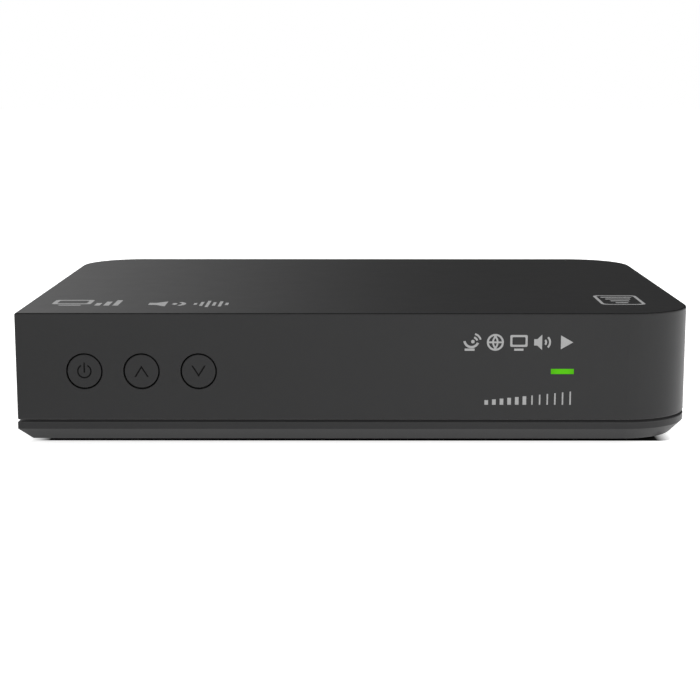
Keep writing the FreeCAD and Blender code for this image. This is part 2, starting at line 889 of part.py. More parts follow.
# ================================================================ network socket
def network_socket_shield():
    t = network_shield
    y0 = mouth_y - network_length
    shell = standing(network_x, network_width, network_height, y0, mouth_y)
    return shell.cut(standing(network_x, network_width - 2 * t, network_height - t, y0, mouth_y))


def network_cavity():
    """The plug's space: low and high corners in x, y and z."""
    half = network_cavity_width / 2
    z0 = board_top + network_cavity_floor
    return (
        (network_x - half, mouth_y - network_cavity_depth, z0),
        (network_x + half, mouth_y, z0 + network_cavity_height),
    )


def network_lamps():
    """The lamps sit in the corners over the plug's space."""
    z = board_top + network_height - network_shield - network_lamp_margin - network_lamp_height / 2
    xs = spread(network_x, 2, network_cavity_width - network_lamp_width)
    y0 = mouth_y - network_lamp_depth
    return group([bar(x, z, network_lamp_width, network_lamp_height, y0, mouth_y) for x in xs])


def network_socket_housing():
    w = network_width - 2 * network_shield
    h = network_height - network_shield
    body = standing(network_x, w, h, mouth_y - network_length, mouth_y)
    (x0, y0, z0), (x1, y1, z1) = network_cavity()
    half = latch_width / 2
    latch = block(network_x - half, network_x + half, y0, y1, z0 - latch_height, z0)
    return body.cut([block(x0, x1, y0, y1, z0, z1), latch, network_lamps()])


def network_socket_contacts():
    """Sloped wires that hang from the roof of the plug's space."""
    roof_z = network_cavity()[1][2]
    w = network_contact_width / 2
    wire = block(-w, w, -network_contact_length, 0, -network_contact_thickness, 0)
    y = mouth_y - network_contact_start
    z = roof_z - network_contact_gap
    xs = spread(network_x, network_contact_count, network_contact_pitch)
    return group([placed(wire, x, y, z, network_contact_angle) for x in xs])


# ================================================================ data and video sockets
def strips(xs, w, y0, y1, z0, z1):
    return [block(x - w / 2, x + w / 2, y0, y1, z0, z1) for x in xs]


def data_socket_shell():
    t = socket_shell
    y0 = mouth_y - data_length
    z = board_top + data_height / 2
    shell = bar(data_x, z, data_width, data_height, y0, mouth_y)
    return shell.cut(bar(data_x, z, data_width - 2 * t, data_height - 2 * t, y0 + t, mouth_y))


def data_tongue_z():
    top = board_top + data_height - socket_shell - data_tongue_drop
    return top - data_tongue_height, top


def data_socket_tongue():
    g = socket_shell + socket_fit
    y1 = mouth_y - data_tongue_length
    z = board_top + data_height / 2
    root = bar(data_x, z, data_width - 2 * g, data_height - 2 * g, mouth_y - data_length + g, y1)
    w = data_tongue_width / 2
    return root.fuse(block(data_x - w, data_x + w, y1, mouth_y - mouth_recess, *data_tongue_z()))


def data_socket_contacts():
    low = data_tongue_z()[0]
    ends = (mouth_y - data_tongue_length, mouth_y - 2 * mouth_recess)
    xs = spread(data_x, data_contact_count, data_contact_pitch)
    return group(strips(xs, data_contact_width, *ends, low - contact_thickness, low))


def video_prism(grow, y0, y1):
    """The video plug's outline, with its two lower corners cut off, grown or shrunk by grow."""
    half = video_width / 2 + grow
    low = board_top - grow
    high = board_top + video_height + grow
    right = [(half, high), (half, low + video_corner), (half - video_corner, low)]
    outline = right + [(-x, z) for x, z in reversed(right)]
    return prism([(video_x + x, z) for x, z in outline], y0, y1)


def video_socket_shell():
    y0 = mouth_y - video_length
    return video_prism(0, y0, mouth_y).cut(video_prism(-socket_shell, y0 + socket_shell, mouth_y))


def video_tongue_z():
    top = board_top + video_height - socket_shell - video_tongue_drop
    return top - video_tongue_height, top


def video_socket_tongue():
    g = socket_shell + socket_fit
    y1 = mouth_y - video_tongue_length
    root = video_prism(-g, mouth_y - video_length + g, y1)
    w = video_tongue_width / 2
    return root.fuse(block(video_x - w, video_x + w, y1, mouth_y - mouth_recess, *video_tongue_z()))


def video_socket_contacts():
    """One row of strips under the tongue and one row, with one fewer, over it."""
    low, high = video_tongue_z()
    ends = (mouth_y - video_tongue_length, mouth_y - 2 * mouth_recess)
    under_xs = spread(video_x, video_contact_count, video_contact_pitch)
    over_xs = spread(video_x, video_contact_count - 1, video_contact_pitch)
    under = strips(under_xs, video_contact_width, *ends, low - contact_thickness, low)
    return group(under + strips(over_xs, video_contact_width, *ends, high, high + contact_thickness))


# ================================================================ optical audio socket
def optical_cavity():
    """The plug's space behind the rim: low and high corners in x, y and z."""
    half = optical_mouth / 2
    y0 = mouth_y - optical_length + optical_back
    return (
        (optical_x - half, y0, optical_cavity_z),
        (optical_x + half, mouth_y - optical_front, optical_cavity_z + optical_mouth),
    )


def optical_socket_housing():
    (x0, y0, z0), (x1, y1, z1) = optical_cavity()
    body = standing(optical_x, optical_width, optical_height, mouth_y - optical_length, mouth_y)
    room = block(x0, x1, y0, y1, z0, optical_roof_z)
    mouth = block(x0, x1, y1, mouth_y, z0, z1)
    reach = optical_mouth / 2 + shutter_pivot_length + shutter_play
    pivot_hole = crosswise(optical_x, pivot_y, pivot_z, shutter_pivot_radius + shutter_pivot_fit, reach)
    return body.cut([room, mouth, pivot_hole])


def optical_socket_shutter():
    """The flap over the mouth, which swings inwards and up on two small pins at its upper edge."""
    half = optical_mouth / 2 - shutter_play
    t = shutter_thickness / 2
    low = optical_cavity_z + shutter_play
    flap = block(optical_x - half, optical_x + half, pivot_y - t, pivot_y + t, low, pivot_z)
    knuckle = crosswise(optical_x, pivot_y, pivot_z, t, half)
    reach = optical_mouth / 2 + shutter_pivot_length
    pin = crosswise(optical_x, pivot_y, pivot_z, shutter_pivot_radius, reach)
    return flap.fuse([knuckle, pin])


def optical_socket_emitter():
    (_, y0, z0), (_, _, z1) = optical_cavity()
    return level(optical_x, (z0 + z1) / 2, emitter_radius, y0, y0 + emitter_length)


# ================================================================ power inlet
def power_inlet_spring():
    """The side contact: a strip set into the bore's floor."""
    w = inlet_spring_width / 2
    top = inlet_z - math.sqrt(inlet_bore_radius ** 2 - w ** 2)
    low = inlet_z - inlet_bore_radius - inlet_spring_thickness
    return block(inlet_x - w, inlet_x + w, inlet_bore_y, inlet_bore_y + inlet_spring_length, low, top)


def inlet_pin_foot():
    """The pin's thicker foot, which is moulded into the housing behind the bore."""
    radius = inlet_pin_radius + inlet_pin_shoulder
    return level(inlet_x, inlet_z, radius, inlet_bore_y - inlet_pin_root, inlet_bore_y)


def power_inlet_housing():
    body = standing(inlet_x, inlet_width, inlet_height, mouth_y - inlet_length, mouth_y)
    bore = level(inlet_x, inlet_z, inlet_bore_radius, inlet_bore_y, mouth_y)
    return body.cut([bore, inlet_pin_foot(), power_inlet_spring()])


def power_inlet_pin():
    tip_y = inlet_bore_y + inlet_pin_length
    pin = level(inlet_x, inlet_z, inlet_pin_radius, inlet_bore_y, tip_y)
    return soften(pin, inlet_pin_round, at_depth(tip_y)).fuse(inlet_pin_foot())


# ================================================================ rear panel
def rear_panel():
    panel = block(-panel_half_width, panel_half_width, panel_in_y, panel_out_y, band_z, panel_top)
    g = cutout_fit
    thick = (panel_in_y, panel_out_y)
    cuts = [level(tuner_x, barrel_z, barrel_radius + g, *thick), video_prism(g, *thick)]
    boxes = [
        (network_x, network_width, network_height),
        (data_x, data_width, data_height),
        (optical_x, optical_width, optical_height),
        (inlet_x, inlet_width, inlet_height),
    ]
    for x, w, h in boxes:
        cuts.append(bar(x, board_top + h / 2, w + 2 * g, h + 2 * g, *thick))
    vent_z = window_top - panel_vent_margin - panel_vent_height / 2
    for x in spread(0, panel_vent_count, panel_vent_pitch):
        cuts.append(bar(x, vent_z, panel_vent_width, panel_vent_height, *thick))
    return panel.cut(cuts)


# ================================================================ everything
def make_all():
    parts = {
        "upper_cover": upper_cover(),
        "bottom_tray": bottom_tray(),
        "rear_panel": rear_panel(),
        "case_screws": case_screws(),
        "main_board": main_board(),
        "board_screws": board_screws(),
        "front_board": front_board(),
        "front_board_screws": front_board_screws(),
        "link_header_block": link_header_block(),
        "link_header_pins": link_header_pins(),
        "status_light_guide": status_light_guide(),
        "status_lamp": status_lamp(),
        "infrared_sensor": infrared_sensor(),
        "tuner_frame": tuner_frame(),
        "tuner_lid": tuner_lid(),
        "satellite_input_barrel": satellite_input_barrel(),
        "satellite_input_core": satellite_input_core(),
        "satellite_input_contact": satellite_input_contact(),
        "satellite_input_nut": satellite_input_nut(),
        "satellite_input_washer": satellite_input_washer(),
        "network_socket_shield": network_socket_shield(),
        "network_socket_housing": network_socket_housing(),
        "network_socket_contacts": network_socket_contacts(),
        "network_socket_lamps": network_lamps(),
        "network_transformer": network_transformer(),
        "data_socket_shell": data_socket_shell(),
        "data_socket_tongue": data_socket_tongue(),
        "data_socket_contacts": data_socket_contacts(),
        "video_socket_shell": video_socket_shell(),
        "video_socket_tongue": video_socket_tongue(),
        "video_socket_contacts": video_socket_contacts(),
        "optical_socket_housing": optical_socket_housing(),
        "optical_socket_shutter": optical_socket_shutter(),
        "optical_socket_emitter": optical_socket_emitter(),
        "power_inlet_housing": power_inlet_housing(),
        "power_inlet_pin": power_inlet_pin(),
        "power_inlet_spring": power_inlet_spring(),
        "processor": processor(),
        "thermal_pad": thermal_pad(),
        "heat_sink": heat_sink(),
        "heat_sink_clips": heat_sink_clips(),
        "memory_chips": memory_chips(),
        "flash_chip": flash_chip(),
        "crystal": crystal(),
        "capacitors": capacitors(),
        "power_coils": power_coils(),
    }
    foot_names = ("front_left", "front_right", "rear_left", "rear_right")
    for name, (x, y) in zip(foot_names, foot_spots):
        parts["rubber_foot_" + name] = rubber_foot(x, y)
    icons = (power_icon(key_xs[0]), arrow_icon(key_xs[1], 1), arrow_icon(key_xs[2], -1))
    for name, x, icon in zip(("power", "up", "down"), key_xs, icons):
        parts[name + "_key"] = key(x, icon)
        parts[name + "_switch_plunger"] = switch_plunger(x)
        parts[name + "_switch_housing"] = switch_housing(x)
    return parts


def save(parts):
    os.makedirs("parts", exist_ok=True)
    for name, shape in parts.items():
        shape.exportStep("parts/" + name + ".step")


save(make_all())
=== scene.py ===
import math

import bmesh
import bpy
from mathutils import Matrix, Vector


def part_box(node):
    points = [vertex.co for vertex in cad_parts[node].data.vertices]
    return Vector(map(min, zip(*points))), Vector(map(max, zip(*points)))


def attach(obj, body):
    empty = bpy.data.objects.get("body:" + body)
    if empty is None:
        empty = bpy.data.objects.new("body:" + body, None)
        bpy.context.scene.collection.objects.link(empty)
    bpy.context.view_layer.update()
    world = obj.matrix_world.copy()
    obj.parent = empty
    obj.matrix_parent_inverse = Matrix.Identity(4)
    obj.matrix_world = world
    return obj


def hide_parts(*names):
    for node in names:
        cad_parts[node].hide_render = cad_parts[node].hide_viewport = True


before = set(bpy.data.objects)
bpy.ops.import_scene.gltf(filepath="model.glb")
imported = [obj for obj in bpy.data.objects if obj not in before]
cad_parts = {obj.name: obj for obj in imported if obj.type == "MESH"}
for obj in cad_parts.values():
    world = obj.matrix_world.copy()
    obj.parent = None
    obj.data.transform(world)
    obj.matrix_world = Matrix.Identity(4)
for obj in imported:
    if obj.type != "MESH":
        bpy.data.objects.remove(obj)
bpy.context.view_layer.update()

mm = 0.001


# ---------------------------------------------------------------- table and studio
# The receiver stands on a pale table in a white room, lit by soft boxes. The table keeps its shadow, and
# under the plinth a contact shadow is painted dark into its colour and glow.
# From below, the table is clear and the middle of its contact patch lights the underside.
# Gauze flags that only reflections see stand behind the case, hang above it and lie before its left half.
def new_material(name):
    """An empty node material: (material, its node tree, its output)."""
    made = bpy.data.materials.new(name)
    made.use_nodes = True
    tree = made.node_tree
    tree.nodes.clear()
    return made, tree, tree.nodes.new("ShaderNodeOutputMaterial")


def feed(tree, socket, value):
    """Sets a socket to a plain number or colour, or links another socket to it."""
    if isinstance(value, bpy.types.NodeSocket):
        tree.links.new(value, socket)
    else:
        socket.default_value = value


def maths(tree, operation, *values):
    node = tree.nodes.new("ShaderNodeMath")
    node.operation = operation
    for socket, value in zip(node.inputs, values):
        feed(tree, socket, value)
    return node.outputs[0]


def ramp(tree, value, start, end, first=0.0, last=1.0, smooth=False):
    """A value that goes from first to last while another goes from start to end, and stops there."""
    node = tree.nodes.new("ShaderNodeMapRange")
    node.interpolation_type = "SMOOTHSTEP" if smooth else "LINEAR"
    for socket, number in zip(node.inputs, (value, start, end, first, last)):
        feed(tree, socket, number)
    return node.outputs[0]


def colour_mix(tree, factor, first, second):
    """A colour that is the first one where the factor is 0 and the second where it is 1."""
    node = tree.nodes.new("ShaderNodeMix")
    node.data_type = "RGBA"
    for socket, value in ((node.inputs[0], factor), (node.inputs[6], first), (node.inputs[7], second)):
        feed(tree, socket, value)
    return node.outputs[2]


def place_on_piece(tree):
    return tree.nodes.new("ShaderNodeTexCoord").outputs["Object"]


def split_place(tree):
    """The X, Y and Z of a point on the piece, in metres."""
    sides = tree.nodes.new("ShaderNodeSeparateXYZ")
    tree.links.new(place_on_piece(tree), sides.inputs[0])
    return sides.outputs[0], sides.outputs[1], sides.outputs[2]


def apart(tree, value, middle):
    """How far a value lies from a middle, to either side."""
    return maths(tree, "ABSOLUTE", maths(tree, "SUBTRACT", value, middle))


def diagonal(tree, first, second):
    """The straight distance made up of two distances at right angles."""
    squares = [maths(tree, "POWER", side, 2.0) for side in (first, second)]
    return maths(tree, "SQRT", maths(tree, "ADD", *squares))


def seen_directly(tree):
    """1 for a ray from the camera, off a shiny face or through glass, 0 for the light on the object."""
    path = tree.nodes.new("ShaderNodeLightPath")
    seen = maths(tree, "MAXIMUM", path.outputs["Is Camera Ray"], path.outputs["Is Glossy Ray"])
    return maths(tree, "MAXIMUM", seen, path.outputs["Is Transmission Ray"])


def shader_mix(tree, factor, first, second):
    """A shader that is the first one where the factor is 0 and the second where it is 1."""
    node = tree.nodes.new("ShaderNodeMixShader")
    for socket, value in zip(node.inputs, (factor, first, second)):
        tree.links.new(value, socket)
    return node.outputs[0]


def begin():
    """Object mode with nothing selected, so that the next operator acts on its own piece alone."""
    if bpy.context.object and bpy.context.object.mode != "OBJECT":
        bpy.ops.object.mode_set(mode="OBJECT")
    bpy.ops.object.select_all(action="DESELECT")


table_size = 8.0
table_white = (0.80, 0.80, 0.80, 1)
# The near black that is painted on the table under the plinth as a painted contact shadow.
painted_contact_shadow = (0.02, 0.02, 0.02, 1)
table_glow = 0.12
near_lift, far_lift = 0.69, 1.0
near_reach, far_reach = 0.15, 0.60
contact_half_x, contact_half_y = 81.25 * mm, 51.45 * mm
contact_middle_x, contact_middle_y = -0.75 * mm, -4.25 * mm
contact_square, contact_front_round, contact_rear_round = 1.0 * mm, 4.0 * mm, 10.0 * mm
contact_fade, contact_end_fade = 0.15 * mm, 4.4 * mm
contact_tuck, tuck_reach = 3.6 * mm, 45.0 * mm
under_light, under_inset, under_fade = 1.0, 5.0 * mm, 9.0 * mm
table_gap = 0.03 * mm

begin()
bpy.ops.mesh.primitive_plane_add(size=table_size, location=(0, 0, -table_gap))
table = bpy.context.object
table.name = "table"
table_paint, tree, out = new_material("table_paint")
x, y = split_place(tree)[:2]
from_middle = tree.nodes.new("ShaderNodeVectorMath")
from_middle.operation = "LENGTH"
tree.links.new(place_on_piece(tree), from_middle.inputs[0])
lift = ramp(tree, from_middle.outputs["Value"], near_reach, far_reach, near_lift, far_lift)
at_right = maths(tree, "GREATER_THAN", x, 0.0)
corner = maths(tree, "MULTIPLY_ADD", at_right, contact_front_round - contact_square, contact_square)
at_rear = maths(tree, "GREATER_THAN", y, 0.0)
corner = maths(tree, "MAXIMUM", corner, maths(tree, "MULTIPLY", at_rear, contact_rear_round))
past_side = maths(tree, "SUBTRACT", apart(tree, x, contact_middle_x), contact_half_x)
past_side = maths(tree, "ADD", past_side, ramp(tree, y, -tuck_reach, tuck_reach, 0.0, contact_tuck))
past_end = maths(tree, "SUBTRACT", apart(tree, y, contact_middle_y), contact_half_y)
round_x = maths(tree, "MAXIMUM", maths(tree, "ADD", past_side, corner), 0.0)
round_y = maths(tree, "MAXIMUM", maths(tree, "ADD", past_end, corner), 0.0)
past_round = diagonal(tree, round_x, round_y)
# clear is 1 outside the patch under the plinth; inside it the table loses its glow, as a painted contact
# shadow.
clear = ramp(tree, maths(tree, "SUBTRACT", past_round, corner), -contact_fade, contact_fade)
clear = maths(tree, "MAXIMUM", clear, ramp(tree, past_side, -contact_end_fade, 0.0))
shown = maths(tree, "MULTIPLY", lift, seen_directly(tree))
strength = maths(tree, "MULTIPLY", clear, maths(tree, "ADD", shown, table_glow))
deep = ramp(tree, maths(tree, "MAXIMUM", past_side, past_end), -under_inset, -under_fade)
to_camera = tree.nodes.new("ShaderNodeLightPath").outputs["Is Camera Ray"]
lights_case = maths(tree, "SUBTRACT", 1.0, to_camera)
beneath = maths(tree, "MULTIPLY", maths(tree, "MULTIPLY", deep, lights_case), under_light)
strength = maths(tree, "ADD", strength, beneath)
paint = tree.nodes.new("ShaderNodeBsdfDiffuse")
# Painted contact shadow: the table's colour turns near black inside the patch under the plinth.
tree.links.new(colour_mix(tree, clear, painted_contact_shadow, table_white), paint.inputs["Color"])
glow = tree.nodes.new("ShaderNodeEmission")
tree.links.new(strength, glow.inputs["Strength"])
both = tree.nodes.new("ShaderNodeAddShader")
tree.links.new(paint.outputs[0], both.inputs[0])
tree.links.new(glow.outputs[0], both.inputs[1])
from_below = tree.nodes.new("ShaderNodeNewGeometry").outputs["Backfacing"]
nothing = tree.nodes.new("ShaderNodeBsdfTransparent").outputs[0]
tree.links.new(shader_mix(tree, from_below, both.outputs[0], nothing), out.inputs["Surface"])
table.data.materials.append(table_paint)

room_light = 0.42
room = bpy.data.worlds.new("white_room")
bpy.context.scene.world = room
room.use_nodes = True
tree = room.node_tree
tree.nodes.clear()
lit_room = tree.nodes.new("ShaderNodeBackground")
seen_room = tree.nodes.new("ShaderNodeBackground")
for background, strength in ((lit_room, room_light), (seen_room, 1.0)):
    background.inputs["Color"].default_value = (1, 1, 1, 1)
    background.inputs["Strength"].default_value = strength
walls = shader_mix(tree, seen_directly(tree), lit_room.outputs[0], seen_room.outputs[0])
tree.links.new(walls, tree.nodes.new("ShaderNodeOutputWorld").inputs["Surface"])

case_middle = Vector((0, 0, 17 * mm))


def soft_box(name, place, size, power):
    """A square lamp that looks at the middle of the case."""
    begin()
    bpy.ops.object.light_add(type="AREA", location=place)
    lamp = bpy.context.object
    lamp.name = name
    lamp.data.shape = "SQUARE"
    lamp.data.size = size
    lamp.data.energy = power
    lamp.rotation_euler = (case_middle - Vector(place)).to_track_quat("-Z", "Y").to_euler()
    lamp.visible_glossy = False


soft_box("soft_box_over", place=(0.0, -0.15, 1.3), size=1.2, power=9.0)
soft_box("soft_box_front", place=(0.60, -0.60, 0.30), size=0.5, power=4.0)


def dark_flag(name, low, high, cover, clear_x, full_x):
    """A gauze card that only reflections see: clear as far as clear_x, and at its darkest from full_x on."""
    begin()
    bpy.ops.mesh.primitive_plane_add(size=1)
    card = bpy.context.object
    card.name = name
    card.data.vertices[0].co = low
    card.data.vertices[1].co = (high[0], low[1], low[2])
    card.data.vertices[2].co = (low[0], high[1], high[2])
    card.data.vertices[3].co = high
    gauze, tree, out = new_material(name + "_gauze")
    weight = ramp(tree, split_place(tree)[0], clear_x, full_x, 0.0, cover, smooth=True)
    gaps = tree.nodes.new("ShaderNodeBsdfTransparent").outputs[0]
    threads = tree.nodes.new("ShaderNodeBsdfDiffuse")
    threads.inputs["Color"].default_value = (0.004, 0.004, 0.004, 1)
    tree.links.new(shader_mix(tree, weight, gaps, threads.outputs[0]), out.inputs["Surface"])
    card.data.materials.append(gauze)
    for ray in ("camera", "diffuse", "transmission", "volume_scatter", "shadow"):
        setattr(card, "visible_" + ray, False)


flag_y, flag_left, flag_right, flag_top = 1.0, -0.60, 2.2, 1.6
thick_gauze, thin_gauze = 0.93, 0.36
low_flag_z = 0.4 * mm
dark_flag("flag_behind", low=(flag_left, flag_y, 0), high=(flag_right, flag_y, flag_top),
          cover=thick_gauze, clear_x=flag_left, full_x=0.10)
dark_flag("flag_above", low=(-1.5, -0.9, flag_top), high=(flag_right, flag_y, flag_top),
          cover=thick_gauze, clear_x=-1.6, full_x=-1.5)
dark_flag("flag_on_table", low=(-0.8, -0.45, low_flag_z), high=(0.12, -0.075, low_flag_z),
          cover=thin_gauze, clear_x=0.12, full_x=-0.22)

lens = 80.59
camera_place = (-0.607 * mm, -442.45 * mm, 90.5 * mm)
camera_pitch = math.radians(90 - 9.865)
camera_turn = math.radians(0.143)
begin()
bpy.ops.object.camera_add(location=camera_place, rotation=(camera_pitch, 0, camera_turn))
camera = bpy.context.object
camera.data.lens = lens
camera.data.sensor_width = 36.0
camera.data.clip_start = 0.01
bpy.context.scene.camera = camera
bpy.context.scene.view_settings.view_transform = "Standard"


# ---------------------------------------------------------------- bottom tray
# The shallow tray is moulded in dark grey ABS with a fine spark-eroded grain, and everything stands on it.
# The plinth's side stays dull from the tool and is painted dark as shade under the overhang, and the rim
# below the seam is painted paler as a highlight. The cover fits over the tray's lip, and the light that would
# creep into the seam is painted as a faint glow on the lip's ledge.
def noise(tree, place, scale, detail=2.0):
    """A soft random value around 0.5; scale is how many blobs there are in a metre."""
    node = tree.nodes.new("ShaderNodeTexNoise")
    tree.links.new(place, node.inputs["Vector"])
    feed(tree, node.inputs["Scale"], scale)
    node.inputs["Detail"].default_value = detail
    return node.outputs["Fac"]


def soft_ramp(tree, value, first=0.0, last=1.0):
    """Spreads a soft random value, most of it between 0.3 and 0.7, from first to last."""
    return ramp(tree, value, 0.3, 0.7, first, last)


def cells(tree, place, scale, feature="F1"):
    node = tree.nodes.new("ShaderNodeTexVoronoi")
    node.feature = feature
    tree.links.new(place, node.inputs["Vector"])
    feed(tree, node.inputs["Scale"], scale)
    return node


def shaded(colour, factor):
    """A plain colour made lighter or darker, with the alpha that a colour socket wants."""
    return (*(min(1.0, part * factor) for part in colour), 1)


def effect(name, inputs, outputs):
    """An empty shader group, which is its own node tree: (group, what goes in, what comes out)."""
    group = bpy.data.node_groups.new(name, "ShaderNodeTree")
    for label in inputs:
        group.interface.new_socket(name=label, in_out="INPUT", socket_type="NodeSocketFloat")
    for label in outputs:
        group.interface.new_socket(name=label, in_out="OUTPUT", socket_type="NodeSocketFloat")
    return group, group.nodes.new("NodeGroupInput").outputs, group.nodes.new("NodeGroupOutput").inputs


def place_effect(tree, group, **values):
    node = tree.nodes.new("ShaderNodeGroup")
    node.node_tree = group
    for label, value in values.items():
        node.inputs[label].default_value = value
    return node.outputs


moulded_grain, given, result = effect("moulded_grain", ["Grain"], ["Height", "Tone", "Gloss"])
tree = moulded_grain
place = place_on_piece(tree)
per_metre = maths(tree, "DIVIDE", 1.0, given["Grain"])
pits = cells(tree, place, per_metre, "SMOOTH_F1").outputs["Distance"]
tree.links.new(maths(tree, "ADD", pits, noise(tree, place, per_metre, 3.0)), result["Height"])
tree.links.new(soft_ramp(tree, noise(tree, place, 34.0)), result["Tone"])
tree.links.new(soft_ramp(tree, noise(tree, place, 190.0, 4.0)), result["Gloss"])

edge_wear, given, result = effect("edge_wear", ["Width"], ["Mask"])
tree = edge_wear
place = place_on_piece(tree)
rounded = tree.nodes.new("ShaderNodeBevel")
rounded.samples = 4
tree.links.new(given["Width"], rounded.inputs["Radius"])
turned = tree.nodes.new("ShaderNodeVectorMath")
turned.operation = "DOT_PRODUCT"
tree.links.new(rounded.outputs[0], turned.inputs[0])
tree.links.new(tree.nodes.new("ShaderNodeNewGeometry").outputs["Normal"], turned.inputs[1])
edge = ramp(tree, turned.outputs["Value"], 0.995, 0.90)
patches = ramp(tree, noise(tree, place, 700.0, 4.0), 0.40, 0.62)
tree.links.new(maths(tree, "MULTIPLY", edge, patches), result["Mask"])

settled_dust, given, result = effect("settled_dust", ["Amount"], ["Mask"])
tree = settled_dust
place = place_on_piece(tree)
upwards = tree.nodes.new("ShaderNodeSeparateXYZ")
tree.links.new(tree.nodes.new("ShaderNodeNewGeometry").outputs["Normal"], upwards.inputs[0])
flat = ramp(tree, upwards.outputs[2], 0.5, 0.95)
specks = ramp(tree, noise(tree, place, 2600.0, 2.0), 0.52, 0.75)
drifts = ramp(tree, noise(tree, place, 26.0, 3.0), 0.35, 0.70)
lying = maths(tree, "MULTIPLY", maths(tree, "MULTIPLY", flat, specks), drifts)
tree.links.new(maths(tree, "MULTIPLY", lying, given["Amount"]), result["Mask"])


def surface(tree, out, colour, roughness, height, relief, **constants):
    """The shader of a finish; relief is the depth of its bump in metres, and the rest stays plain."""
    shader = tree.nodes.new("ShaderNodeBsdfPrincipled")
    tree.links.new(colour, shader.inputs["Base Color"])
    tree.links.new(roughness, shader.inputs["Roughness"])
    bump = tree.nodes.new("ShaderNodeBump")
    bump.inputs["Distance"].default_value = relief
    tree.links.new(height, bump.inputs["Height"])
    tree.links.new(bump.outputs[0], shader.inputs["Normal"])
    for label, value in constants.items():
        shader.inputs[label.replace("_", " ")].default_value = value
    tree.links.new(shader.outputs[0], out.inputs["Surface"])


dust_grey = (0.30, 0.29, 0.27, 1)


def plastic_colour(tree, colour, grain, worn, dust):
    """The uneven tone of a moulding, polished paler at its edges, with a little dust on top."""
    tone = colour_mix(tree, grain["Tone"], shaded(colour, 0.975), shaded(colour, 1.025))
    wear = maths(tree, "MULTIPLY", place_effect(tree, edge_wear, Width=0.25 * mm)["Mask"], worn)
    tone = colour_mix(tree, wear, tone, shaded(colour, 2.2))
    film = place_effect(tree, settled_dust, Amount=dust)["Mask"]
    return colour_mix(tree, film, tone, dust_grey)


def moulded(name, colour, roughness, shine=0.5, grain=0.4, relief=0.005, worn=0.25, dust=0.02, cloud=0.025,
            bands=()):
    """A moulded plastic or rubber; grain and relief are in millimetres, cloud is how uneven its gloss is.

    A band is a part of the piece between two places on one axis that has another shade, and where it is
    dull another roughness: (0, 1 or 2 for x, y or z; start; end; shade; roughness, or 0 to keep it).
    """
    made, tree, out = new_material(name)
    grained = place_effect(tree, moulded_grain, Grain=grain * mm)
    tone = plastic_colour(tree, colour, grained, worn, dust)
    gloss = ramp(tree, grained["Gloss"], 0.0, 1.0, roughness - cloud, roughness + cloud)
    # The bands paint shade and highlights into the colour of the piece.
    for axis, start, end, shade, dull in bands:
        inside = maths(tree, "COMPARE", split_place(tree)[axis], (start + end) / 2, (end - start) / 2)
        tone = colour_mix(tree, inside, tone, shaded(colour, shade))
        gloss = maths(tree, "MAXIMUM", gloss, maths(tree, "MULTIPLY", inside, dull))
    surface(tree, out, tone, gloss, grained["Height"], relief * mm, Specular_IOR_Level=shine)
    return made


def glow_from(material, colour):
    """Feeds a colour to the light that a finish gives off by itself."""
    shader = material.node_tree.nodes["Principled BSDF"]
    shader.inputs["Emission Strength"].default_value = 1.0
    material.node_tree.links.new(colour, shader.inputs["Emission Color"])


def dress(material, *names):
    for name in names:
        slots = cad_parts[name].data.materials
        slots.clear()
        slots.append(material)


case_grey = (0.0187, 0.0187, 0.0191)
case_finish = {"roughness": 0.42, "shine": 0.25, "grain": 0.42, "relief": 0.004, "cloud": 0.008}
seam_low, seam_high = 6.4 * mm, 6.9 * mm
seam_ledge = seam_low - 0.02 * mm
seam_glow = 0.0128
# Painted shade: the plinth's side under the overhang is coloured at 0.45 of the case grey.
plinth_painted_shade = (2, 0.56 * mm, 1.40 * mm, 0.45, 0.80)
# Painted highlight: the tray's rim just below the seam is coloured 1.7 times lighter than the case grey.
tray_rim_painted_highlight = (2, seam_low - 0.30 * mm, seam_low - 0.14 * mm, 1.7, 0.0)

tray_plastic = moulded("tray_plastic", case_grey, **case_finish, worn=0.15, dust=0.0,
                       bands=(plinth_painted_shade, tray_rim_painted_highlight))
tree = tray_plastic.node_tree
# Painted light: the lip's ledge inside the seam glows faintly, in place of the light that creeps in there.
in_seam = maths(tree, "GREATER_THAN", split_place(tree)[2], seam_ledge)
glow_from(tray_plastic, colour_mix(tree, in_seam, (0, 0, 0, 1), (seam_glow, seam_glow, seam_glow, 1)))
dress(tray_plastic, "bottom_tray")


# ---------------------------------------------------------------- rating label
# A blank silver film with a printed border and ruled lines, stuck in the shallow recess under the tray.
# It is cut with rounded corners, and its face stays a little deeper than the plinth's.
def edit():
    bpy.ops.object.mode_set(mode="EDIT")
    bpy.ops.mesh.select_mode(type="VERT")
    bpy.ops.mesh.select_all(action="SELECT")


def modify(kind, **values):
    """Adds a modifier to the active piece and applies it."""
    bpy.ops.object.mode_set(mode="OBJECT")
    modifier = bpy.context.object.modifiers.new(kind.lower(), kind)
    for label, value in values.items():
        setattr(modifier, label, value)
    bpy.ops.object.modifier_apply(modifier=modifier.name)


def fit(name, material, body="receiver", smooth=30):
    """Names the active piece, moves its place into its mesh, gives it its finish and the body it rides on."""
    bpy.ops.object.mode_set(mode="OBJECT")
    bpy.ops.object.transform_apply(location=True, rotation=True, scale=True)
    bpy.ops.object.shade_smooth_by_angle(angle=math.radians(smooth))
    piece = bpy.context.object
    piece.name = name
    if material:
        piece.data.materials.clear()
        piece.data.materials.append(material)
    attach(piece, body)
    return piece


label_size = (59.0 * mm, 13.0 * mm)
label_corner = 1.5 * mm
label_film_thickness = 0.12 * mm
label_middle_y = -43.25 * mm
label_ceiling = 0.8 * mm
label_border, label_margin = 0.9 * mm, 1.62 * mm
label_rule_pitch = 2.4 * mm
label_rule_width = 0.15 * mm

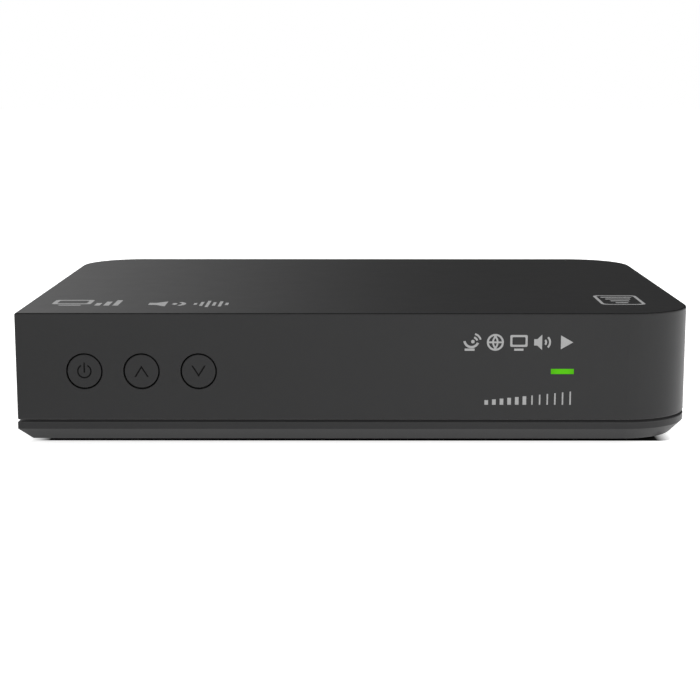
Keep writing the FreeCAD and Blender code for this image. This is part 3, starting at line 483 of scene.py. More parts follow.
film, tree, out = new_material("label_film")
x, y = split_place(tree)[:2]
off_y = apart(tree, y, label_middle_y)
inside_x = maths(tree, "SUBTRACT", label_size[0] / 2, maths(tree, "ABSOLUTE", x))
inside_y = maths(tree, "SUBTRACT", label_size[1] / 2, off_y)
to_edge = maths(tree, "MINIMUM", inside_x, inside_y)
border = maths(tree, "COMPARE", to_edge, label_border, label_rule_width)
rule = maths(tree, "LESS_THAN", maths(tree, "PINGPONG", off_y, label_rule_pitch), label_rule_width)
within = maths(tree, "GREATER_THAN", to_edge, label_margin)
lines = maths(tree, "MAXIMUM", border, maths(tree, "MULTIPLY", rule, within))
fibres = noise(tree, place_on_piece(tree), 900.0, 4.0)
silver = colour_mix(tree, fibres, (0.46, 0.46, 0.47, 1), (0.56, 0.56, 0.57, 1))
tone = colour_mix(tree, lines, silver, (0.03, 0.03, 0.03, 1))
gloss = soft_ramp(tree, fibres, 0.30, 0.42)
surface(tree, out, tone, gloss, fibres, 0.003 * mm, Metallic=0.3)

begin()
bpy.ops.mesh.primitive_plane_add(size=1, location=(0, label_middle_y, label_ceiling - label_film_thickness))
bpy.context.object.scale = (*label_size, 1)
bpy.ops.object.transform_apply(location=True, rotation=True, scale=True)
edit()
bpy.ops.mesh.bevel(offset=label_corner, segments=5, affect="VERTICES")
modify("SOLIDIFY", thickness=label_film_thickness, offset=1)
fit("rating_label", film)


# ---------------------------------------------------------------- rubber feet
# Four soft rubber discs are pressed into the tray's seats. The face that stands on the table is moulded
# with a groove between two rings and a small hollow in the middle, so it grips at the rings.
def pick(kind, wanted):
    """In edit mode, selects only the faces, edges or vertices that wanted() says yes to."""
    bpy.ops.mesh.select_mode(type=kind)
    bpy.ops.mesh.select_all(action="DESELECT")
    mesh = bmesh.from_edit_mesh(bpy.context.object.data)
    for element in {"VERT": mesh.verts, "EDGE": mesh.edges, "FACE": mesh.faces}[kind]:
        element.select_set(wanted(element))
    mesh.select_flush_mode()
    bmesh.update_edit_mesh(bpy.context.object.data)


def copy_of(piece):
    """Another piece of the same shape, with a mesh of its own."""
    twin = piece.copy()
    twin.data = piece.data.copy()
    bpy.context.collection.objects.link(twin)
    return twin


def choose(*pieces):
    """Selects only these pieces, the first of them active."""
    begin()
    for piece in pieces:
        piece.select_set(True)
    bpy.context.view_layer.objects.active = pieces[0]


rubber = moulded("foot_rubber", (0.012, 0.012, 0.012), 0.72, 0.35, grain=0.25, relief=0.010, worn=0.1,
                 dust=0.0)
foot_rings = ((1.0, 0.0), (0.5, 0.35), (1.1, 0.0), (0.5, -0.35), (1.0, 0.0), (0.5, 0.35))
foot_round = 0.3 * mm
ring_slope = 0.1 * mm
seats = ["rubber_foot_" + corner for corner in ("front_left", "front_right", "rear_left", "rear_right")]
low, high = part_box(seats[0])
begin()
bpy.ops.mesh.primitive_cylinder_add(vertices=64, radius=(high.x - low.x) / 2, depth=high.z - low.z)
first_foot = bpy.context.object
edit()
pick("EDGE", lambda edge: all(end.co.z < 0 for end in edge.verts))
bpy.ops.mesh.bevel(offset=foot_round, segments=3)
pick("FACE", lambda face: face.normal.z < -0.99)
for width, sink in foot_rings:
    bpy.ops.mesh.inset(thickness=width * mm)
    if sink:
        bpy.ops.mesh.inset(thickness=ring_slope, depth=-sink * mm)
bpy.ops.object.mode_set(mode="OBJECT")
for seat in seats:
    low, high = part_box(seat)
    foot = copy_of(first_foot)
    foot.location = (low + high) / 2
    choose(foot)
    fit(seat.replace("rubber", "ringed"), rubber)
    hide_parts(seat)
bpy.data.objects.remove(first_foot)


# ---------------------------------------------------------------- main board
# A glass-fibre board with green resist over copper tracks, and tinned pads. Four screws hold it to the
# tray's posts. The chips have matt epoxy bodies, and small passives are soldered between them.
board_print, given, result = effect("board_print", ["Track"], ["Copper", "Via"])
tree = board_print
place = place_on_piece(tree)
x, y = split_place(tree)[:2]
areas = cells(tree, place, 95.0)
areas.distance = "CHEBYCHEV"
area = tree.nodes.new("ShaderNodeSeparateColor")
tree.links.new(areas.outputs["Color"], area.inputs[0])
along_x = maths(tree, "GREATER_THAN", area.outputs[0], 0.5)
across = maths(tree, "ADD", maths(tree, "MULTIPLY", along_x, y),
               maths(tree, "MULTIPLY", maths(tree, "SUBTRACT", 1.0, along_x), x))
stripe = maths(tree, "PINGPONG", across, given["Track"])
stripe = maths(tree, "GREATER_THAN", maths(tree, "DIVIDE", stripe, given["Track"]), 0.55)
pour = maths(tree, "GREATER_THAN", area.outputs[1], 0.62)
tree.links.new(maths(tree, "MAXIMUM", stripe, pour), result["Copper"])
holes = cells(tree, place, 240.0).outputs["Distance"]
tree.links.new(maths(tree, "LESS_THAN", holes, 0.09), result["Via"])

track_width = 0.45 * mm
copper_thickness = 0.03 * mm
circuit_board, tree, out = new_material("circuit_board")
printed = place_effect(tree, board_print, Track=track_width)
tone = colour_mix(tree, printed["Copper"], (0.010, 0.060, 0.028, 1), (0.016, 0.105, 0.045, 1))
tone = colour_mix(tree, printed["Via"], tone, (0.45, 0.42, 0.36, 1))
gloss = soft_ramp(tree, noise(tree, place_on_piece(tree), 400.0, 3.0), 0.24, 0.36)
surface(tree, out, tone, gloss, printed["Copper"], copper_thickness)
dress(circuit_board, "main_board", "front_board")

chip_plastic = moulded("chip_plastic", (0.013, 0.013, 0.014), 0.55, 0.4, grain=0.15, relief=0.004, dust=0.05)
dress(chip_plastic, "processor", "memory_chips", "flash_chip", "network_transformer")

plated_haze, given, result = effect("plated_haze", ["Pitch"], ["Height", "Gloss", "Tone"])
tree = plated_haze
place = place_on_piece(tree)
stretch = tree.nodes.new("ShaderNodeVectorMath")
stretch.operation = "MULTIPLY"
stretch.inputs[1].default_value = (0.04, 1.0, 1.0)
tree.links.new(place, stretch.inputs[0])
per_metre = maths(tree, "DIVIDE", 1.0, given["Pitch"])
tree.links.new(noise(tree, stretch.outputs[0], per_metre, 3.0), result["Height"])
tree.links.new(soft_ramp(tree, noise(tree, place, 320.0, 5.0)), result["Gloss"])
tree.links.new(soft_ramp(tree, noise(tree, place, 70.0, 3.0)), result["Tone"])


def plated(name, colour, roughness, pitch=0.12, relief=0.003):
    """A bare or plated metal with drawing lines along X, cloudy gloss and brighter edges."""
    made, tree, out = new_material(name)
    haze = place_effect(tree, plated_haze, Pitch=pitch * mm)
    tone = colour_mix(tree, haze["Tone"], shaded(colour, 0.90), shaded(colour, 1.02))
    wear = place_effect(tree, edge_wear, Width=0.15 * mm)["Mask"]
    tone = colour_mix(tree, wear, tone, shaded(colour, 1.15))
    gloss = ramp(tree, haze["Gloss"], 0.0, 1.0, roughness - 0.05, roughness + 0.07)
    surface(tree, out, tone, gloss, haze["Height"], relief * mm, Metallic=1.0)
    return made


zinc = plated("zinc_screw", (0.58, 0.58, 0.57), 0.30)
tin = plated("tin_plate", (0.62, 0.62, 0.60), 0.27)
nickel = plated("nickel", (0.66, 0.63, 0.58), 0.20, relief=0.0015)
gold = plated("gold_contact", (0.83, 0.60, 0.25), 0.20, relief=0.001)
aluminium = plated("aluminium", (0.60, 0.61, 0.62), 0.34, pitch=0.2, relief=0.006)
dress(zinc, "board_screws", "front_board_screws")
dress(tin, "network_socket_shield", "tuner_frame", "tuner_lid", "link_header_pins", "crystal")
dress(gold, "network_socket_contacts", "data_socket_contacts", "video_socket_contacts",
      "satellite_input_contact")
dress(aluminium, "heat_sink")

clip_nylon = moulded("clip_nylon", (0.55, 0.54, 0.50), 0.45, grain=0.3, dust=0.05)
dress(clip_nylon, "heat_sink_clips")
silicone = moulded("thermal_pad", (0.26, 0.33, 0.42), 0.65, grain=0.2, relief=0.01, worn=0.0)
dress(silicone, "thermal_pad")
ferrite = moulded("coil_ferrite", (0.045, 0.045, 0.048), 0.60, grain=0.18, relief=0.012, dust=0.05)
dress(ferrite, "power_coils")
header_plastic = moulded("header_plastic", (0.016, 0.016, 0.017), 0.48, grain=0.2)
dress(header_plastic, "link_header_block")

capacitor_top = 0.35 * mm
capacitor_rim = 3.1 * mm
vent_half_width = 0.12 * mm
stripe_reach = 2.9 * mm
low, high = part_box("capacitors")
can_radius = (high.x - low.x) / 2
can_middle_x = (low.x + high.x) / 2
can_pitch = (high.y - low.y - can_radius * 2) / 3
sleeve, tree, out = new_material("capacitor_can")
x, y, z = split_place(tree)
off_x = maths(tree, "SUBTRACT", x, can_middle_x)
off_y = maths(tree, "WRAP", maths(tree, "SUBTRACT", y, low.y + can_radius), can_pitch / 2, -can_pitch / 2)
on_top = maths(tree, "MULTIPLY", maths(tree, "GREATER_THAN", z, high.z - capacitor_top),
               maths(tree, "LESS_THAN", diagonal(tree, off_x, off_y), capacitor_rim))
nearest = maths(tree, "MINIMUM", maths(tree, "ABSOLUTE", off_x), maths(tree, "ABSOLUTE", off_y))
vent = maths(tree, "MULTIPLY", on_top, maths(tree, "LESS_THAN", nearest, vent_half_width))
stripe = maths(tree, "LESS_THAN", off_x, -stripe_reach)
haze = noise(tree, place_on_piece(tree), 500.0, 3.0)
tone = colour_mix(tree, stripe, (0.012, 0.016, 0.040, 1), (0.42, 0.42, 0.43, 1))
tone = colour_mix(tree, on_top, tone, (0.55, 0.55, 0.56, 1))
tone = colour_mix(tree, vent, tone, (0.12, 0.12, 0.12, 1))
gloss = soft_ramp(tree, haze, 0.26, 0.36)
height = maths(tree, "SUBTRACT", haze, maths(tree, "MULTIPLY", vent, 3.0))
surface(tree, out, tone, gloss, height, 0.02 * mm)
dress(sleeve, "capacitors")

passive_size = (1.6 * mm, 0.8 * mm, 0.5 * mm)
passive_end, passive_bevel = 0.35 * mm, 0.06 * mm
passive_pitch = 3.6 * mm
passive_rows = ((-28.0, 12.5, 8, "X"), (-50.0, -42.0, 9, "X"), (17.0, -21.0, 8, "Y"), (28.0, -12.0, 8, "X"),
                (28.0, -20.0, 6, "X"), (4.0, 13.0, 4, "X"), (-30.0, 31.0, 6, "X"), (40.0, -41.0, 4, "X"))
board_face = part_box("main_board")[1].z
begin()
bpy.ops.mesh.primitive_cube_add(size=1, location=(0, 0, board_face + passive_size[2] / 2))
passive = bpy.context.object
passive.scale = passive_size
bpy.ops.object.transform_apply(location=True, rotation=True, scale=True)
passive.data.materials.append(chip_plastic)
passive.data.materials.append(tin)
edit()
for side in (-1, 1):
    bpy.ops.mesh.select_all(action="SELECT")
    bpy.ops.mesh.bisect(plane_co=(side * (passive_size[0] / 2 - passive_end), 0, 0), plane_no=(1, 0, 0))
pick("FACE", lambda face: abs(face.calc_center_median().x) > passive_size[0] / 2 - passive_end)
bpy.context.object.active_material_index = 1
bpy.ops.object.material_slot_assign()
pick("EDGE", lambda edge: abs((edge.verts[0].co - edge.verts[1].co).normalized().x) > 0.9)
bpy.ops.mesh.bevel(offset=passive_bevel, segments=1)
bpy.ops.object.mode_set(mode="OBJECT")
soldered = []
for row_x, row_y, count, direction in passive_rows:
    pitch_x, pitch_y, turn = (passive_pitch, 0, math.pi / 2) if direction == "X" else (0, passive_pitch, 0)
    for step in range(count):
        part = copy_of(passive)
        part.location = (row_x * mm + pitch_x * step, row_y * mm + pitch_y * step, 0)
        part.rotation_euler = (0, 0, turn)
        soldered.append(part)
bpy.data.objects.remove(passive)
choose(*soldered)
bpy.ops.object.join()
fit("board_passives", None)

low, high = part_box("flash_chip")
leg_count, leg_pitch, leg_width, leg_thickness = 16, 0.5 * mm, 0.22 * mm, 0.12 * mm
leg_top, leg_step, leg_foot = 0.6 * mm, 0.35 * mm, 0.5 * mm
leg_bends = ((leg_step, 0), (leg_step / 3, leg_thickness / 2 - leg_top), (leg_foot, 0))
begin()
bpy.ops.mesh.primitive_plane_add(size=1, rotation=(0, math.pi / 2, 0))
first_leg = bpy.context.object
first_leg.scale = (leg_thickness, leg_width, 1)
edit()
for outwards, down in leg_bends:
    bpy.ops.mesh.extrude_region_move(TRANSFORM_OT_translate={"value": (outwards, 0, down)})
bpy.ops.mesh.select_all(action="SELECT")
bpy.ops.mesh.normals_make_consistent(inside=False)
bpy.ops.object.mode_set(mode="OBJECT")
bpy.ops.object.transform_apply(location=True, rotation=True, scale=True)
legs = []
for edge_x, turn in ((low.x, math.pi), (high.x, 0.0)):
    for step in range(leg_count):
        leg = copy_of(first_leg)
        leg_y = (low.y + high.y) / 2 + (step - (leg_count - 1) / 2) * leg_pitch
        leg.location = (edge_x, leg_y, board_face + leg_top)
        leg.rotation_euler = (0, 0, turn)
        legs.append(leg)
bpy.data.objects.remove(first_leg)
choose(*legs)
bpy.ops.object.join()
fit("flash_chip_legs", tin)


# ---------------------------------------------------------------- satellite input
# The input is a nickel-plated barrel with a rolled thread, 0.794 mm to the turn, that the cable's
# connector screws onto. A pale insulator inside it carries the spring contact for the centre wire.
pale = moulded("pale_insulator", (0.72, 0.71, 0.66), 0.38, grain=0.3, relief=0.002, worn=0.0)
dress(pale, "satellite_input_core")
dress(nickel, "satellite_input_nut", "power_inlet_pin", "power_inlet_spring", "data_socket_shell",
      "video_socket_shell")
dress(zinc, "satellite_input_washer")

low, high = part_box("satellite_input_barrel")
barrel_middle = (low + high) / 2
barrel_radius = (high.x - low.x) / 2
barrel_length = high.y - low.y
bore_radius = 3.2 * mm
thread_depth = 0.26 * mm
thread_pitch = 0.794 * mm
thread_start_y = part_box("satellite_input_nut")[1].y
thread_turns = 8
thread_lead = thread_pitch * 0.55
ridge_size, ridge_narrow = thread_pitch * 0.5, 0.85
ridge_depth = thread_depth * 1.05
sliver = 0.001 * mm
begin()
bpy.ops.mesh.primitive_cylinder_add(vertices=96, radius=barrel_radius - thread_depth, depth=barrel_length,
                                    location=barrel_middle, rotation=(math.pi / 2, 0, 0))
barrel = bpy.context.object
edit()
pick("FACE", lambda face: abs(face.normal.z) > 0.99)
bpy.ops.mesh.inset(thickness=barrel_radius - thread_depth - bore_radius)
bpy.ops.mesh.bridge_edge_loops()
bpy.ops.mesh.select_all(action="SELECT")
bpy.ops.mesh.normals_make_consistent(inside=False)
bpy.ops.object.mode_set(mode="OBJECT")
bpy.ops.object.transform_apply(location=True, rotation=True, scale=True)

begin()
ridge_place = (barrel_middle.x + barrel_radius - ridge_depth, thread_start_y + thread_lead, barrel_middle.z)
bpy.ops.mesh.primitive_circle_add(vertices=3, radius=ridge_size, fill_type="NOTHING", location=ridge_place,
                                  rotation=(0, 0, -math.pi / 2))
ridge = bpy.context.object
ridge.scale = (ridge_narrow, ridge_depth / ridge_size, 1)
bpy.ops.object.transform_apply(location=True, rotation=True, scale=True)
bpy.context.scene.cursor.location = barrel_middle
bpy.ops.object.origin_set(type="ORIGIN_CURSOR")
modify("SCREW", axis="Y", steps=64, render_steps=64, iterations=thread_turns, screw_offset=thread_pitch,
       use_merge_vertices=False, angle=2 * math.pi)
edit()
bpy.ops.mesh.remove_doubles(threshold=sliver)
bpy.ops.mesh.select_mode(type="EDGE")
bpy.ops.mesh.select_all(action="DESELECT")
bpy.ops.mesh.select_non_manifold()
bpy.ops.mesh.fill_holes(sides=4)
bpy.ops.mesh.select_all(action="SELECT")
bpy.ops.mesh.normals_make_consistent(inside=False)
bpy.ops.object.mode_set(mode="OBJECT")
bpy.ops.object.transform_apply(location=True, rotation=True, scale=True)
choose(barrel)
modify("BOOLEAN", operation="UNION", solver="EXACT", object=ridge)
bpy.data.objects.remove(ridge)
edit()
bpy.ops.mesh.dissolve_degenerate(threshold=sliver)
barrel = fit("threaded_barrel", nickel, smooth=35)
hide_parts("satellite_input_barrel")


# ---------------------------------------------------------------- sockets and power inlet
# Network, data, video and optical sockets and the power inlet are soldered to the board's rear edge.
# Their housings are glossy black plastic and their shells are plated sheet.
socket_plastic = moulded("socket_plastic", (0.012, 0.012, 0.013), 0.34, grain=0.5, relief=0.002)
dress(socket_plastic, "network_socket_housing", "data_socket_tongue", "video_socket_tongue",
      "optical_socket_housing", "optical_socket_shutter", "power_inlet_housing")

low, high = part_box("network_socket_lamps")
lamps, tree, out = new_material("socket_lamps")
amber_side = maths(tree, "GREATER_THAN", split_place(tree)[0], (low.x + high.x) / 2)
cloud = noise(tree, place_on_piece(tree), 900.0, 3.0)
green_lens = colour_mix(tree, cloud, (0.10, 0.34, 0.05, 1), (0.14, 0.42, 0.08, 1))
amber_lens = colour_mix(tree, cloud, (0.52, 0.26, 0.03, 1), (0.62, 0.34, 0.05, 1))
tone = colour_mix(tree, amber_side, green_lens, amber_lens)
gloss = soft_ramp(tree, cloud, 0.14, 0.24)
surface(tree, out, tone, gloss, cloud, 0.004 * mm, Coat_Weight=0.3)
dress(lamps, "network_socket_lamps")
emitter_red = moulded("emitter_lens", (0.22, 0.012, 0.010), 0.16, grain=0.6, relief=0.001, worn=0.0, dust=0.0)
dress(emitter_red, "optical_socket_emitter")


# ---------------------------------------------------------------- rear panel
# The rear panel is folded steel with a fine black powder coat, punched for the sockets and the vents.
# Small pale pictograms are screen printed above or beside the sockets.
coat_relief = 0.02 * mm
panel_steel, tree, out = new_material("panel_steel")
place = place_on_piece(tree)
specks = noise(tree, place, 1600.0, 4.0)
orange_peel = noise(tree, place, 520.0, 1.0)
tone = colour_mix(tree, noise(tree, place, 40.0), (0.016, 0.016, 0.017, 1), (0.021, 0.021, 0.022, 1))
tone = colour_mix(tree, place_effect(tree, edge_wear, Width=0.2 * mm)["Mask"], tone, (0.10, 0.10, 0.10, 1))
gloss = soft_ramp(tree, orange_peel, 0.40, 0.52)
height = maths(tree, "ADD", specks, orange_peel)
surface(tree, out, tone, gloss, height, coat_relief, Specular_IOR_Level=0.4)
dress(panel_steel, "rear_panel")


def ink(name, colour):
    """Screen-printing ink: flat, slightly chalky, with pinholes where the grain shows through."""
    made, tree, out = new_material(name)
    place = place_on_piece(tree)
    chalk = noise(tree, place, 5200.0, 2.0)
    pinholes = ramp(tree, chalk, 0.24, 0.34)
    tone = colour_mix(tree, noise(tree, place, 800.0), shaded(colour, 0.94), shaded(colour, 1.04))
    tone = colour_mix(tree, pinholes, shaded(colour, 0.6), tone)
    gloss = soft_ramp(tree, chalk, 0.50, 0.60)
    surface(tree, out, tone, gloss, chalk, 0.003 * mm, Specular_IOR_Level=0.25)
    return made


drawn = []
ring_steps = 48
ink_thickness = 0.02 * mm
top_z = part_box("upper_cover")[1].z
front_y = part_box("upper_cover")[0].y
panel_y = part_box("rear_panel")[1].y
faces_to_print = {
    "top": ((0, 0, 0), (0, 0, top_z)),
    "front": ((math.pi / 2, 0, 0), (0, front_y, 0)),
    "rear": ((math.pi / 2, 0, math.pi), (0, panel_y, 0)),
}


def keep_shape():
    bpy.ops.object.mode_set(mode="OBJECT")
    bpy.ops.object.transform_apply(location=True, rotation=True, scale=True)
    drawn.append(bpy.context.object)


def flat_plate(x, y, width, height, turn=0.0):
    """A rectangle that other shapes start from."""
    begin()
    bpy.ops.mesh.primitive_plane_add(size=1, location=(x * mm, y * mm, 0),
                                     rotation=(0, 0, math.radians(turn)))
    bpy.context.object.scale = (width * mm, height * mm, 1)
    bpy.ops.object.transform_apply(location=True, rotation=True, scale=True)


def draw_bar(x, y, width, height, turn=0.0):
    flat_plate(x, y, width, height, turn)
    keep_shape()


def draw_ring(x, y, outer, stroke, first=0.0, last=360.0):
    """A ring, or its arc between two angles counted from +X."""
    begin()
    bpy.ops.mesh.primitive_circle_add(vertices=ring_steps, radius=outer * mm, fill_type="NOTHING",
                                      location=(x * mm, y * mm, 0))
    edit()
    inner = (outer - stroke) / outer
    bpy.ops.mesh.extrude_region_move()
    bpy.ops.transform.resize(value=(inner, inner, 1), center_override=(x * mm, y * mm, 0))

    def outside(face):
        middle = face.calc_center_median()
        return (math.degrees(math.atan2(middle.y, middle.x)) - first) % 360 > last - first

    pick("FACE", outside)
    bpy.ops.mesh.delete(type="FACE")
    keep_shape()


def draw_cone(x, y, width, narrow, wide):
    """A bar that widens from left to right, as a loudspeaker's cone does."""
    flat_plate(x, y, width, narrow)
    edit()
    pick("VERT", lambda corner: corner.co.x > x * mm)
    bpy.ops.transform.resize(value=(1, wide / narrow, 1), center_override=(x * mm, y * mm, 0))
    keep_shape()


def draw_disc(x, y, radius, corners=24, turn=0.0):
    """A filled disc, or a triangle when it has three corners."""
    begin()
    bpy.ops.mesh.primitive_circle_add(vertices=corners, radius=radius * mm, fill_type="NGON",
                                      location=(x * mm, y * mm, 0), rotation=(0, 0, math.radians(turn)))
    keep_shape()


def draw_frame(x, y, width, height, stroke, corner):
    flat_plate(x, y, width, height)
    edit()
    bpy.ops.mesh.bevel(offset=corner * mm, segments=4, affect="VERTICES")
    pick("FACE", lambda face: True)
    bpy.ops.mesh.inset(thickness=0)
    inner = (1 - 2 * stroke / width, 1 - 2 * stroke / height, 1)
    bpy.ops.transform.resize(value=inner, center_override=(x * mm, y * mm, 0))
    bpy.ops.mesh.delete(type="FACE")
    keep_shape()


def print_shapes(name, side, material):
    """Joins what was drawn in x and y, gives it the ink's thickness and lays it on a face of the case."""
    choose(*drawn)
    bpy.ops.object.join()
    drawn.clear()
    edit()
    pick("FACE", lambda face: face.normal.z < 0)
    bpy.ops.mesh.flip_normals()
    modify("SOLIDIFY", thickness=ink_thickness, offset=1)
    edit()
    bpy.ops.mesh.intersect_boolean(operation="UNION", use_self=True, solver="EXACT")
    bpy.ops.mesh.select_all(action="SELECT")
    bpy.ops.mesh.dissolve_degenerate(threshold=sliver)
    printed = bpy.context.object
    printed.rotation_euler, printed.location = faces_to_print[side]
    fit(name, material)


# The signs are drawn in shares of their size, round their middle.
def dish_sign(x, y, size):
    """A dish on its stand with two waves."""
    stroke = size * 0.13
    draw_ring(x - size * 0.02, y + size * 0.12, size * 0.46, stroke, 190, 335)
    draw_bar(x - size * 0.12, y - size * 0.42, size * 0.56, stroke)
    draw_disc(x + size * 0.06, y + size * 0.04, size * 0.10)
    for reach in (0.30, 0.50):
        draw_ring(x + size * 0.06, y + size * 0.04, size * reach, stroke * 0.8, 15, 75)


def screen_sign(x, y, size):
    stroke = size * 0.12
    draw_frame(x, y + size * 0.08, size * 0.98, size * 0.68, stroke, size * 0.08)
    draw_bar(x, y - size * 0.42, size * 0.52, stroke)


def globe_sign(x, y, size):
    stroke = size * 0.11
    draw_ring(x, y, size * 0.48, stroke)
    draw_bar(x, y, size * 0.80, stroke * 0.9)
    for side, first, last in ((-1, 128, 232), (1, -52, 52)):
        draw_ring(x - side * size * 0.34, y, size * 0.52, stroke * 0.9, first, last)


def speaker_sign(x, y, size):
    draw_bar(x - size * 0.38, y, size * 0.18, size * 0.36)
    draw_cone(x - size * 0.155, y, size * 0.27, size * 0.36, size * 0.88)
    for reach in (0.24, 0.46):
        draw_ring(x + size * 0.02, y, size * reach, size * 0.11, -46, 46)


def play_sign(x, y, size):
    draw_disc(x - size * 0.06, y, size * 0.46, corners=3, turn=-90)


def plug_sign(x, y, size):
    """A pin in its round sleeve."""
    draw_ring(x, y, size * 0.46, size * 0.12, 130, 410)
    draw_disc(x, y, size * 0.15)
    draw_bar(x - size * 0.30, y, size * 0.42, size * 0.11)


def stick_sign(x, y, size):
    """A data stick with its metal end."""
    draw_frame(x - size * 0.14, y, size * 0.62, size * 0.46, size * 0.11, size * 0.07)
    draw_frame(x + size * 0.32, y, size * 0.34, size * 0.30, size * 0.10, size * 0.03)


def net_sign(x, y, size):
    """Three boxes on one line."""
    stroke, corner = size * 0.10, size * 0.04
    draw_frame(x, y + size * 0.28, size * 0.36, size * 0.36, stroke, corner)
    for box_x in (x - size * 0.32, x + size * 0.32):
        draw_frame(box_x, y - size * 0.30, size * 0.34, size * 0.34, stroke, corner)
        draw_bar(box_x, y - size * 0.08, size * 0.09, size * 0.16)
    draw_bar(x, y, size * 0.73, size * 0.09)


def light_sign(x, y, size):
    """A lamp dot with rays, for the optical output."""
    draw_ring(x, y, size * 0.22, size * 0.11)
    reach = size * 0.40
    for turn in range(0, 360, 45):
        way = math.radians(turn)
        draw_bar(x + reach * math.cos(way), y + reach * math.sin(way), size * 0.18, size * 0.09, turn)


panel_ink = ink("panel_ink", (0.74, 0.74, 0.72))
sign_size = 3.2
low_sign_size = 2.4
sign_gap = 0.6


def above(node, size=sign_size):
    """Where a sign over a socket goes in the rear drawing, with x from right to left, and its size."""
    low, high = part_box(node)
    return -(low.x + high.x) / 2 / mm, high.z / mm + sign_gap + size / 2, size


def beside(node):
    """Where a sign goes that stands left of a socket as seen from behind, and its size."""
    low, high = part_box(node)
    from_socket = sign_gap * 2 + sign_size / 2
    return -(high.x / mm + from_socket), (low.z + high.z) / 2 / mm, sign_size


rear_signs = (
    ("inlet_pictogram", plug_sign, above("power_inlet_housing", low_sign_size)),
    ("optical_pictogram", light_sign, above("optical_socket_housing", low_sign_size)),
    ("video_pictogram", screen_sign, above("video_socket_shell")),
    ("data_pictogram", stick_sign, above("data_socket_shell")),
    ("network_pictogram", net_sign, beside("network_socket_shield")),
    ("satellite_pictogram", dish_sign, beside("satellite_input_washer")),
)
for name, sign, spot in rear_signs:
    sign(*spot)
    print_shapes(name, "rear", panel_ink)


# ---------------------------------------------------------------- front board parts
# Three tact switches, the status lamp and the infrared receiver are soldered to the front board.
# The switch bodies are matt nylon, the receiver is dark resin with a domed face.
switch_plastic = moulded("switch_plastic", (0.020, 0.020, 0.021), 0.50, grain=0.25)
button_plastic = moulded("button_plastic", (0.62, 0.60, 0.55), 0.42, grain=0.25, worn=0.1)
for key in ("power", "up", "down"):
    dress(switch_plastic, key + "_switch_housing")
    dress(button_plastic, key + "_switch_plunger")
clear_resin = {"grain": 0.8, "relief": 0.001, "worn": 0.0, "dust": 0.0}
dress(moulded("sensor_resin", (0.010, 0.007, 0.010), 0.12, **clear_resin), "infrared_sensor")
dress(moulded("lamp_resin", (0.62, 0.66, 0.50), 0.22, **clear_resin), "status_lamp")


# ---------------------------------------------------------------- keys and status light
# The three round keys are moulded like the cover, with their symbols sunk a quarter of a millimetre deep and
# painted dark as shade.
# The light guide is clear green plastic, lit from behind by the lamp and brightest at its middle.
key_grey = (0.0185, 0.0185, 0.0190)
key_face, key_end = (corner.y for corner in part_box("power_key"))
# Painted shade: everything more than 0.12 mm behind a key's face, the sunk symbols and the cap's side in its
# hole, is coloured near black.
key_recess_shade = (1, key_face + 0.12 * mm, key_end + mm, 0.108, 0.85)
key_plastic = moulded("key_plastic", key_grey, **case_finish, worn=0.3, dust=0.0, bands=(key_recess_shade,))
dress(key_plastic, "power_key", "up_key", "down_key")

low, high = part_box("status_light_guide")
light_half = 2.8 * mm
light_green = (0.074, 0.44, 0.002, 1)
light_lens, tree, out = new_material("light_lens")
from_lamp = apart(tree, split_place(tree)[0], (low.x + high.x) / 2)
cloud = noise(tree, place_on_piece(tree), 700.0, 3.0)
level = ramp(tree, from_lamp, light_half * 0.3, light_half, 1.0, 0.82, smooth=True)
tone = colour_mix(tree, cloud, (0.018, 0.085, 0.003, 1), (0.024, 0.105, 0.004, 1))
gloss = soft_ramp(tree, cloud, 0.20, 0.30)
surface(tree, out, tone, gloss, cloud, 0.002 * mm, Specular_IOR_Level=0.06)
glow_from(light_lens, colour_mix(tree, level, (0, 0, 0, 1), light_green))
dress(light_lens, "status_light_guide")


# ---------------------------------------------------------------- upper cover and case screws
# The cover is one moulding with the top, the front and the sides, in the same dark grey plastic.
# The round at the top's rim is painted as a thin dark line, a painted dark reflection, and the rim at the
# seam is painted pale as a highlight. Four black screws come up from under the tray into the cover's bosses.
# Painted reflection: the top's rounded rim is coloured at 0.34 of the case grey, as a thin dark line.
top_rim_dark_reflection = (2, top_z - 0.20 * mm, top_z - 0.01 * mm, 0.34, 0.70)
# Painted highlight: the cover's rim just above the seam is coloured 3.2 times lighter than the case grey.
cover_rim_painted_highlight = (2, seam_high, seam_high + 0.18 * mm, 3.2, 0.0)
case_plastic = moulded("case_plastic", case_grey, **case_finish, worn=0.15, dust=0.004,
                       bands=(top_rim_dark_reflection, cover_rim_painted_highlight))
dress(case_plastic, "upper_cover")
dress(plated("black_screw", (0.045, 0.045, 0.047), 0.36), "case_screws")


# ---------------------------------------------------------------- printed marks
# Small generic marks in pale grey ink stand where a receiver has its prints: pictograms of what it
# handles on the front, a tick scale under them, and a screen, a speaker and a badge on the top.
front_ink = ink("front_ink", (0.375, 0.375, 0.375))
top_ink = ink("top_ink", (0.36, 0.36, 0.36))

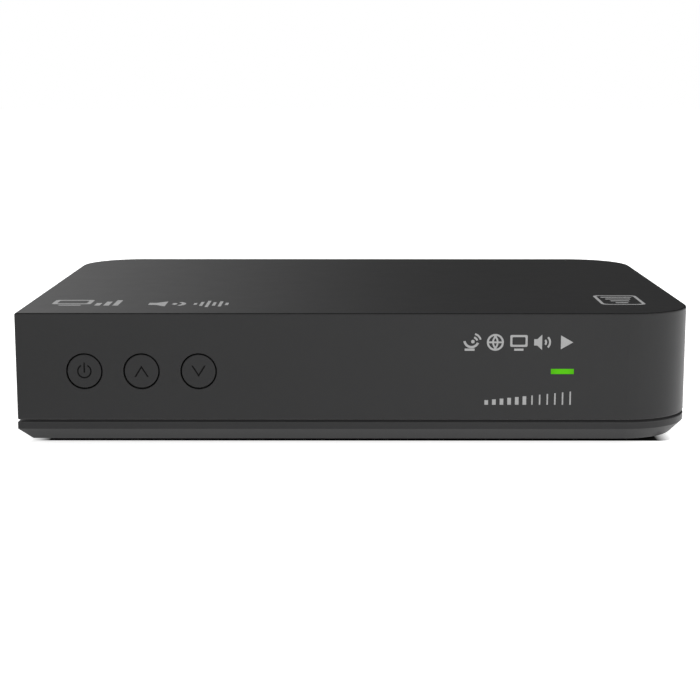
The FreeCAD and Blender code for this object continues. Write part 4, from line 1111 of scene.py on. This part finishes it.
front_sign_size = 4.35
front_signs = (dish_sign, globe_sign, screen_sign, speaker_sign, play_sign)
front_signs_left, front_signs_right, front_signs_z = 26.2, 53.7, 26.4
first_sign_x = front_signs_left + front_sign_size / 2
sign_step = (front_signs_right - front_signs_left - front_sign_size) / (len(front_signs) - 1)
for place_in_row, sign in enumerate(front_signs):
    sign(first_sign_x + sign_step * place_in_row, front_signs_z, front_sign_size)
print_shapes("front_pictograms", "front", front_ink)

scale_left, scale_right, scale_foot, scale_height = 31.2, 53.8, 10.75, 3.3
bar_count, bold_width, fine_width = 12, 0.9, 0.36
lowest_share = 0.35
bar_step = (scale_right - scale_left) / bar_count
for number in range(bar_count):
    width = bold_width if number < bar_count / 2 else fine_width
    height = scale_height * (lowest_share + (1 - lowest_share) * number / (bar_count - 1))
    draw_bar(scale_left + bar_step * (number + 0.5), scale_foot + height / 2, width, height)
print_shapes("front_scale", "front", front_ink)

screen_left, screen_front = -77.7, front_y / mm + 13.0
screen_width, screen_height, screen_stroke, screen_round = 10.0, 7.6, 1.2, 0.9
stand_width = 5.6
mark_depth = 10.0
screen_x = screen_left + screen_width / 2
screen_y = screen_front + mark_depth - screen_height / 2
draw_frame(screen_x, screen_y, screen_width, screen_height, screen_stroke, screen_round)
draw_bar(screen_x, screen_front + screen_stroke / 2, stand_width, screen_stroke)
level_left, level_step, level_width = screen_left + 12.0, 2.3, 1.4
for number, share in enumerate((0.45, 0.70, 0.95)):
    height = mark_depth * share
    draw_bar(level_left + level_step * number, screen_front + height / 2, level_width, height)
print_shapes("top_screen_mark", "top", top_ink)

speaker_x, sound_y = -48.2, front_y / mm + 16.0
speaker_sign(speaker_x, sound_y, mark_depth)
wave_left, wave_step, wave_width = -41.0, 1.6, 0.8
for number, height in enumerate((3.0, 7.0, 11.0, 6.0, 9.0, 4.0)):
    draw_bar(wave_left + wave_step * number, sound_y, wave_width, height)
print_shapes("top_sound_mark", "top", top_ink)

badge_x, badge_y = 68.15, front_y / mm + 23.5
badge_width, badge_depth, badge_stroke, badge_round = 11.3, 17.0, 0.8, 1.6
badge_bar_pitch, badge_bar_depth = 3.4, 1.2
draw_frame(badge_x, badge_y, badge_width, badge_depth, badge_stroke, badge_round)
for number, width in enumerate((3.2, 4.8, 6.4, 8.0)):
    draw_bar(badge_x, badge_y + badge_bar_pitch * (number - 1.5), width, badge_bar_depth)
print_shapes("top_badge", "top", top_ink)
